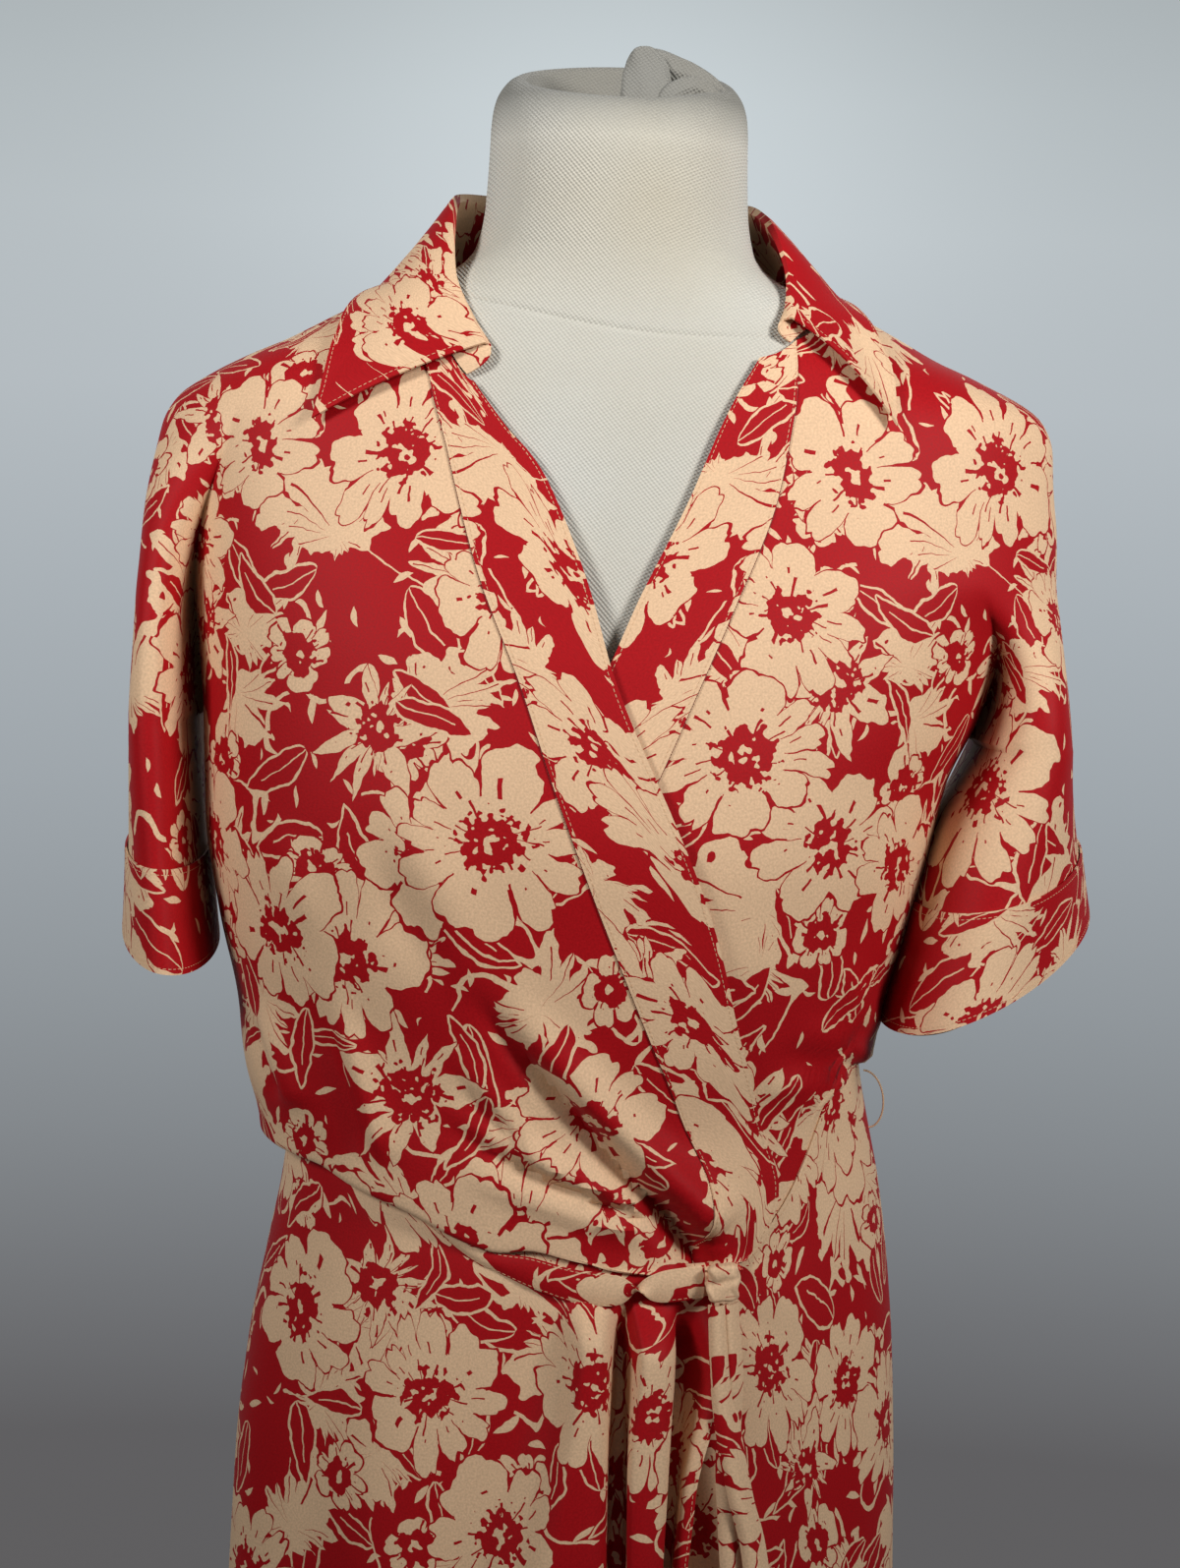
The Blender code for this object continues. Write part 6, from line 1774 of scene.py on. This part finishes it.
def loop_rings():
    """A thin bent tube: half a turn out from the side seam and back, and each of its rings."""
    top, low = LOOP_HEIGHTS
    t = np.linspace(0, np.pi, 41)
    height = (top + low) / 2 + (top - low) / 2 * np.cos(t)
    x = skirt_radius(90.0, height) - LOOP_SET_IN + LOOP_REACH * np.sin(t)
    path = np.stack([x, 0 * x + LOOP_Y, height], axis=-1)
    ahead = np.gradient(path, axis=0)
    ahead /= np.linalg.norm(ahead, axis=1, keepdims=True)
    side = np.array([0, 1.0, 0])
    other = np.cross(ahead, side)
    turn = np.arange(LOOP_SIDES) * 2 * np.pi / LOOP_SIDES
    round_it = np.cos(turn)[:, None] * side + np.sin(turn)[None, :, None] * other[:, None]
    return path[:, None] + LOOP_RADIUS * round_it


def neck_seam(angle):
    """Height of the jersey cover's seam round the base of the neck."""
    turn = np.radians(angle)
    return NECK_SEAM_HEIGHT - NECK_SEAM_SLOPE * np.cos(turn) - NECK_SEAM_LEAN * np.sin(turn)


def form_rings():
    """Rings of the torso and the neck, parted at the neck seam."""
    angle = around(FORM_COLUMNS)
    seam = neck_seam(angle)
    rows, last_rows = TORSO_ROWS
    fine = np.interp(np.linspace(0, len(FORM_LEVELS) - 1, rows), np.arange(len(FORM_LEVELS)), FORM_LEVELS)
    levels = [level + 0 * angle for level in fine]
    levels += [fine[-1] + (seam - fine[-1]) * share for share in np.linspace(0, 1, last_rows)[1:]]
    torso = [placed(angle, form_radius(angle, level) - groove(level, seam), level) for level in levels]
    bottom = torso[0] * (0.9, 0.9, 0) + (0, 0, FORM_BOTTOM)

    angle = around(NECK_COLUMNS)
    seam = neck_seam(angle)
    middle, width, depth = TUCK_DROP
    rim_drop = depth * np.exp(-(signed(angle - middle) / width) ** 2)
    rim = CAP_HEIGHT - CAP_TILT * np.cos(np.radians(angle)) - rim_drop
    side_top = rim - CAP_PROFILE[0, 1]
    levels = [seam + (side_top - seam) * share for share in np.linspace(0, 1, NECK_ROWS)[:-1]]
    neck = [placed(angle, form_radius(angle, level) - groove(level, seam), level) for level in levels]
    edge = form_radius(angle, side_top)
    steps = np.linspace(0, len(CAP_PROFILE) - 1, CAP_ROWS)
    shares, drops = [curve(steps, np.arange(len(CAP_PROFILE)), CAP_PROFILE[:, k]) for k in (0, 1)]
    for share, drop in zip(shares, drops):
        tilt = CAP_HEIGHT - CAP_TILT * np.cos(np.radians(angle)) * share - rim_drop * share ** 4
        neck.append(placed(angle, edge * share, tilt - drop))
    return {"form_torso": [bottom] + torso, "form_neck": gathered(np.array(neck))}


def gathered(neck):
    """The neck with a fan of small gathers that run down and aside from the tuck on its front rim."""
    x, z = neck[..., 0] - TUCK_PLACE[0], TUCK_PLACE[1] - neck[..., 2]
    count, height, reach = GATHERS
    fan = np.sin(count * np.arctan2(x, np.abs(z) + 0.006))
    front = smooth(-neck[..., 1] / 0.03) * smooth((z + 0.002) / 0.006)
    rise = height * fan * front * np.exp(-(np.hypot(x, z) / reach) ** 2)
    out = neck * (1, 1, 0)
    return neck + out / np.linalg.norm(out, axis=-1, keepdims=True) * rise[..., None]


def roll_rings(rows):
    """Rings of a rolled fold of the cover: an oval along a smooth path, with creases and closed ends."""
    share = np.linspace(0, 1, 70)
    at = np.linspace(0, 1, len(rows))
    *place, width, depth = [curve(share, at, rows[:, k]) for k in range(5)]
    middle = np.stack(place, axis=-1)
    ahead = np.gradient(middle, axis=0)
    ahead /= np.linalg.norm(ahead, axis=1, keepdims=True)
    aside = np.cross(ahead, (0, 1.0, 0))
    aside /= np.linalg.norm(aside, axis=1, keepdims=True)
    above = np.cross(aside, ahead)
    turn = np.radians(around(72))
    swell = np.maximum((1 - np.abs(2 * share - 1) ** 14) ** 0.5, 0.02)[:, None]
    along = share[:, None]
    crease = 1 + ROLL_CREASES * (np.cos(3 * turn + 4 * along) + 0.7 * np.cos(7 * turn - 5 * along))
    across = (width[:, None] * swell * np.cos(turn) * crease)[..., None] * aside[:, None]
    lifted = (depth[:, None] * swell * np.sin(turn) * crease)[..., None] * above[:, None]
    return middle[:, None] + across + lifted


def groove(level, seam):
    """Depth of the furrow along the neck seam."""
    depth, width = NECK_FURROW
    return depth * np.exp(-((level - seam) / width) ** 2)


def stand_profiles():
    """Profiles of (radius, height) from the axis outwards and up, with rounded edges."""
    base, thick, hub, hub_top = BASE_RADIUS, BASE_THICKNESS, BASE_COLLAR_RADIUS, BASE_COLLAR_HEIGHT + 0.001
    top = FORM_BOTTOM - TOUCH_GAP
    low = top - PLATE_THICKNESS
    plate, pole = PLATE_RADIUS, POLE_RADIUS
    return (
        ("stand_base", "stand_paint",
         [(base - 0.002, 0.0), (base - 0.0006, 0.0006), (base, 0.002), (base, thick - 0.004),
          (base - 0.0006, thick - 0.0018), (base - 0.004, thick), (hub + 0.020, thick + 0.0005),
          (hub + 0.006, thick + 0.003), (hub + 0.001, thick + 0.006), (hub, thick + 0.009),
          (hub - 0.004, hub_top - 0.001), (hub - 0.0045, hub_top - 0.0003), (hub - 0.006, hub_top)]),
        ("stand_pole", "stand_paint", [(pole, hub_top + TOUCH_GAP), (pole, low - TOUCH_GAP)]),
        ("stand_plate", "stand_plate_paint",
         [(plate - 0.002, low), (plate - 0.0006, low + 0.0006), (plate, low + 0.002), (plate, top - 0.001),
          (plate - 0.001, top)]),
    )


# ---- the studio
def studio(scene):
    """Soft-edged pale floor, pale blue-grey surroundings that darken downwards, three soft lights, camera."""
    settings = scene.dress_studio
    rings = np.array([placed(around(64), radius, FLOOR_HEIGHT) for radius in FLOOR_RINGS])
    centre = rings.size // 3
    index = np.arange(centre).reshape(rings.shape[:2])
    index = np.concatenate([index, index[:, :1]], axis=1)
    mesh = bpy.data.meshes.new("floor")
    mesh.from_pydata(rings.reshape(-1, 3).tolist() + [(0, 0, FLOOR_HEIGHT)], [],
                     quads(index).tolist() + [(a, b, centre) for a, b in zip(index[0], index[0, 1:])])
    floor = bpy.data.objects.new("floor", mesh)
    scene.collection.objects.link(floor)
    floor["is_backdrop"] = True
    paint = Paint("floor_paint")
    place = paint.place()
    x, y, _ = paint.parts(place)
    away = paint.math("SQRT", x * x + y * y)
    edge, reach = FLOOR_EDGE
    fade = paint.math("MULTIPLY_ADD", away, -1 / reach, edge / reach, clamp=True)
    mottle = paint.noise(place, 0.3, 2.0)[0]
    colour = paint.vector("SCALE", tuple(settings.floor), scale=0.97 + 0.06 * mottle)
    seen = paint.add("ShaderNodeLightPath").outputs["Is Camera Ray"]
    mesh.materials.append(paint.finish(base_color=colour, roughness=0.8, alpha=fade,
                                       emission_color=paint.vector("SCALE", colour, scale=seen),
                                       emission_strength=FLOOR_LIFT))

    paint = Paint("surroundings", world=True)
    scene.world = paint.material
    x, ahead, up = paint.parts(paint.add("ShaderNodeTexCoord").outputs["Generated"])
    low, high = WORLD_SPAN
    stops = [(place, (*colour, 1)) for place, *colour in WORLD_STOPS.tolist()]
    ramp = paint.add("ShaderNodeValToRGB", {"stops": stops}, {"Fac": (up - low) / (high - low)})
    start, full = WORLD_BACKDROP
    behind = paint.math("MULTIPLY_ADD", ahead, 1 / (full - start), -start / (full - start), clamp=True)
    (middle_x, middle_up), (reach_x, reach_up), strength = WORLD_GLOW
    far = ((x - middle_x) / reach_x) ** 2 + ((up - middle_up) / reach_up) ** 2
    glow = 1 + strength * paint.math("POWER", 2.718, -far) * behind
    lit = WORLD_REST + (1 - WORLD_REST) * behind
    seen = lit + (1 - lit) * paint.add("ShaderNodeLightPath").outputs["Is Camera Ray"]
    paint.finish(color=paint.vector("SCALE", ramp.outputs["Color"], scale=seen * glow))

    for name, spot, aim, size, spread, share in LIGHTS:
        light = bpy.data.lights.new(name, "AREA")
        light.shape, light.size = "DISK", size
        light.spread, light.energy = np.radians(spread), settings.key * share
        lamp = bpy.data.objects.new(name, light)
        lamp.location = spot
        lamp.rotation_euler = (Vector(aim) - Vector(spot)).to_track_quat("-Z", "Y").to_euler()
        scene.collection.objects.link(lamp)

    camera = bpy.data.cameras.new("camera")
    camera.lens, camera.sensor_width, camera.sensor_fit = settings.lens, 36.0, "AUTO"
    camera.clip_start, camera.clip_end = 0.05, 50.0
    pitch, roll = np.radians(CAMERA_PITCH), np.radians(CAMERA_ROLL)
    ahead = np.array([0, np.cos(pitch), -np.sin(pitch)])
    right = np.cos(roll) * np.array([1.0, 0, 0]) + np.sin(roll) * np.cross([1.0, 0, 0], ahead)
    up = np.cross(right, ahead)
    axes = np.stack([right, up, -ahead], axis=1)
    viewer = bpy.data.objects.new("camera", camera)
    viewer.matrix_world = Matrix([[*row, place] for row, place in zip(axes, CAMERA_PLACE)] + [[0, 0, 0, 1]])
    scene.collection.objects.link(viewer)
    scene.camera = viewer
    scene.view_settings.view_transform = "Standard"


OPERATORS = (DRESS_OT_bodice, DRESS_OT_cuffs, DRESS_OT_collar, DRESS_OT_skirts, DRESS_OT_tie,
             DRESS_OT_stitches, DRESS_OT_form, DRESS_OT_stand, DRESS_OT_studio)
GROUPS = {"dress_cloth": ClothSettings, "dress_form": FormSettings, "dress_studio": StudioSettings}


def register():
    """Makes the settings, the operators and the panel known."""
    for group in GROUPS.values():
        bpy.utils.register_class(group)
    for operator in OPERATORS + (DRESS_PT_panel,):
        bpy.utils.register_class(operator)
    for name, group in GROUPS.items():
        setattr(bpy.types.Scene, name, bpy.props.PointerProperty(type=group))


def unregister():
    """Takes them away again."""
    for name in GROUPS:
        delattr(bpy.types.Scene, name)
    for kind in (DRESS_PT_panel,) + OPERATORS + tuple(GROUPS.values()):
        bpy.utils.unregister_class(kind)


def main():
    """Builds everything in order."""
    register()
    for operator in OPERATORS:
        group, name = operator.bl_idname.split(".")
        getattr(getattr(bpy.ops, group), name)()
    boxes = {"cad": CAD_BOX, "visual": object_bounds()}
    {name: [list(corner) for corner in box] for name, box in boxes.items()}


if __name__ == "__main__":
    main()
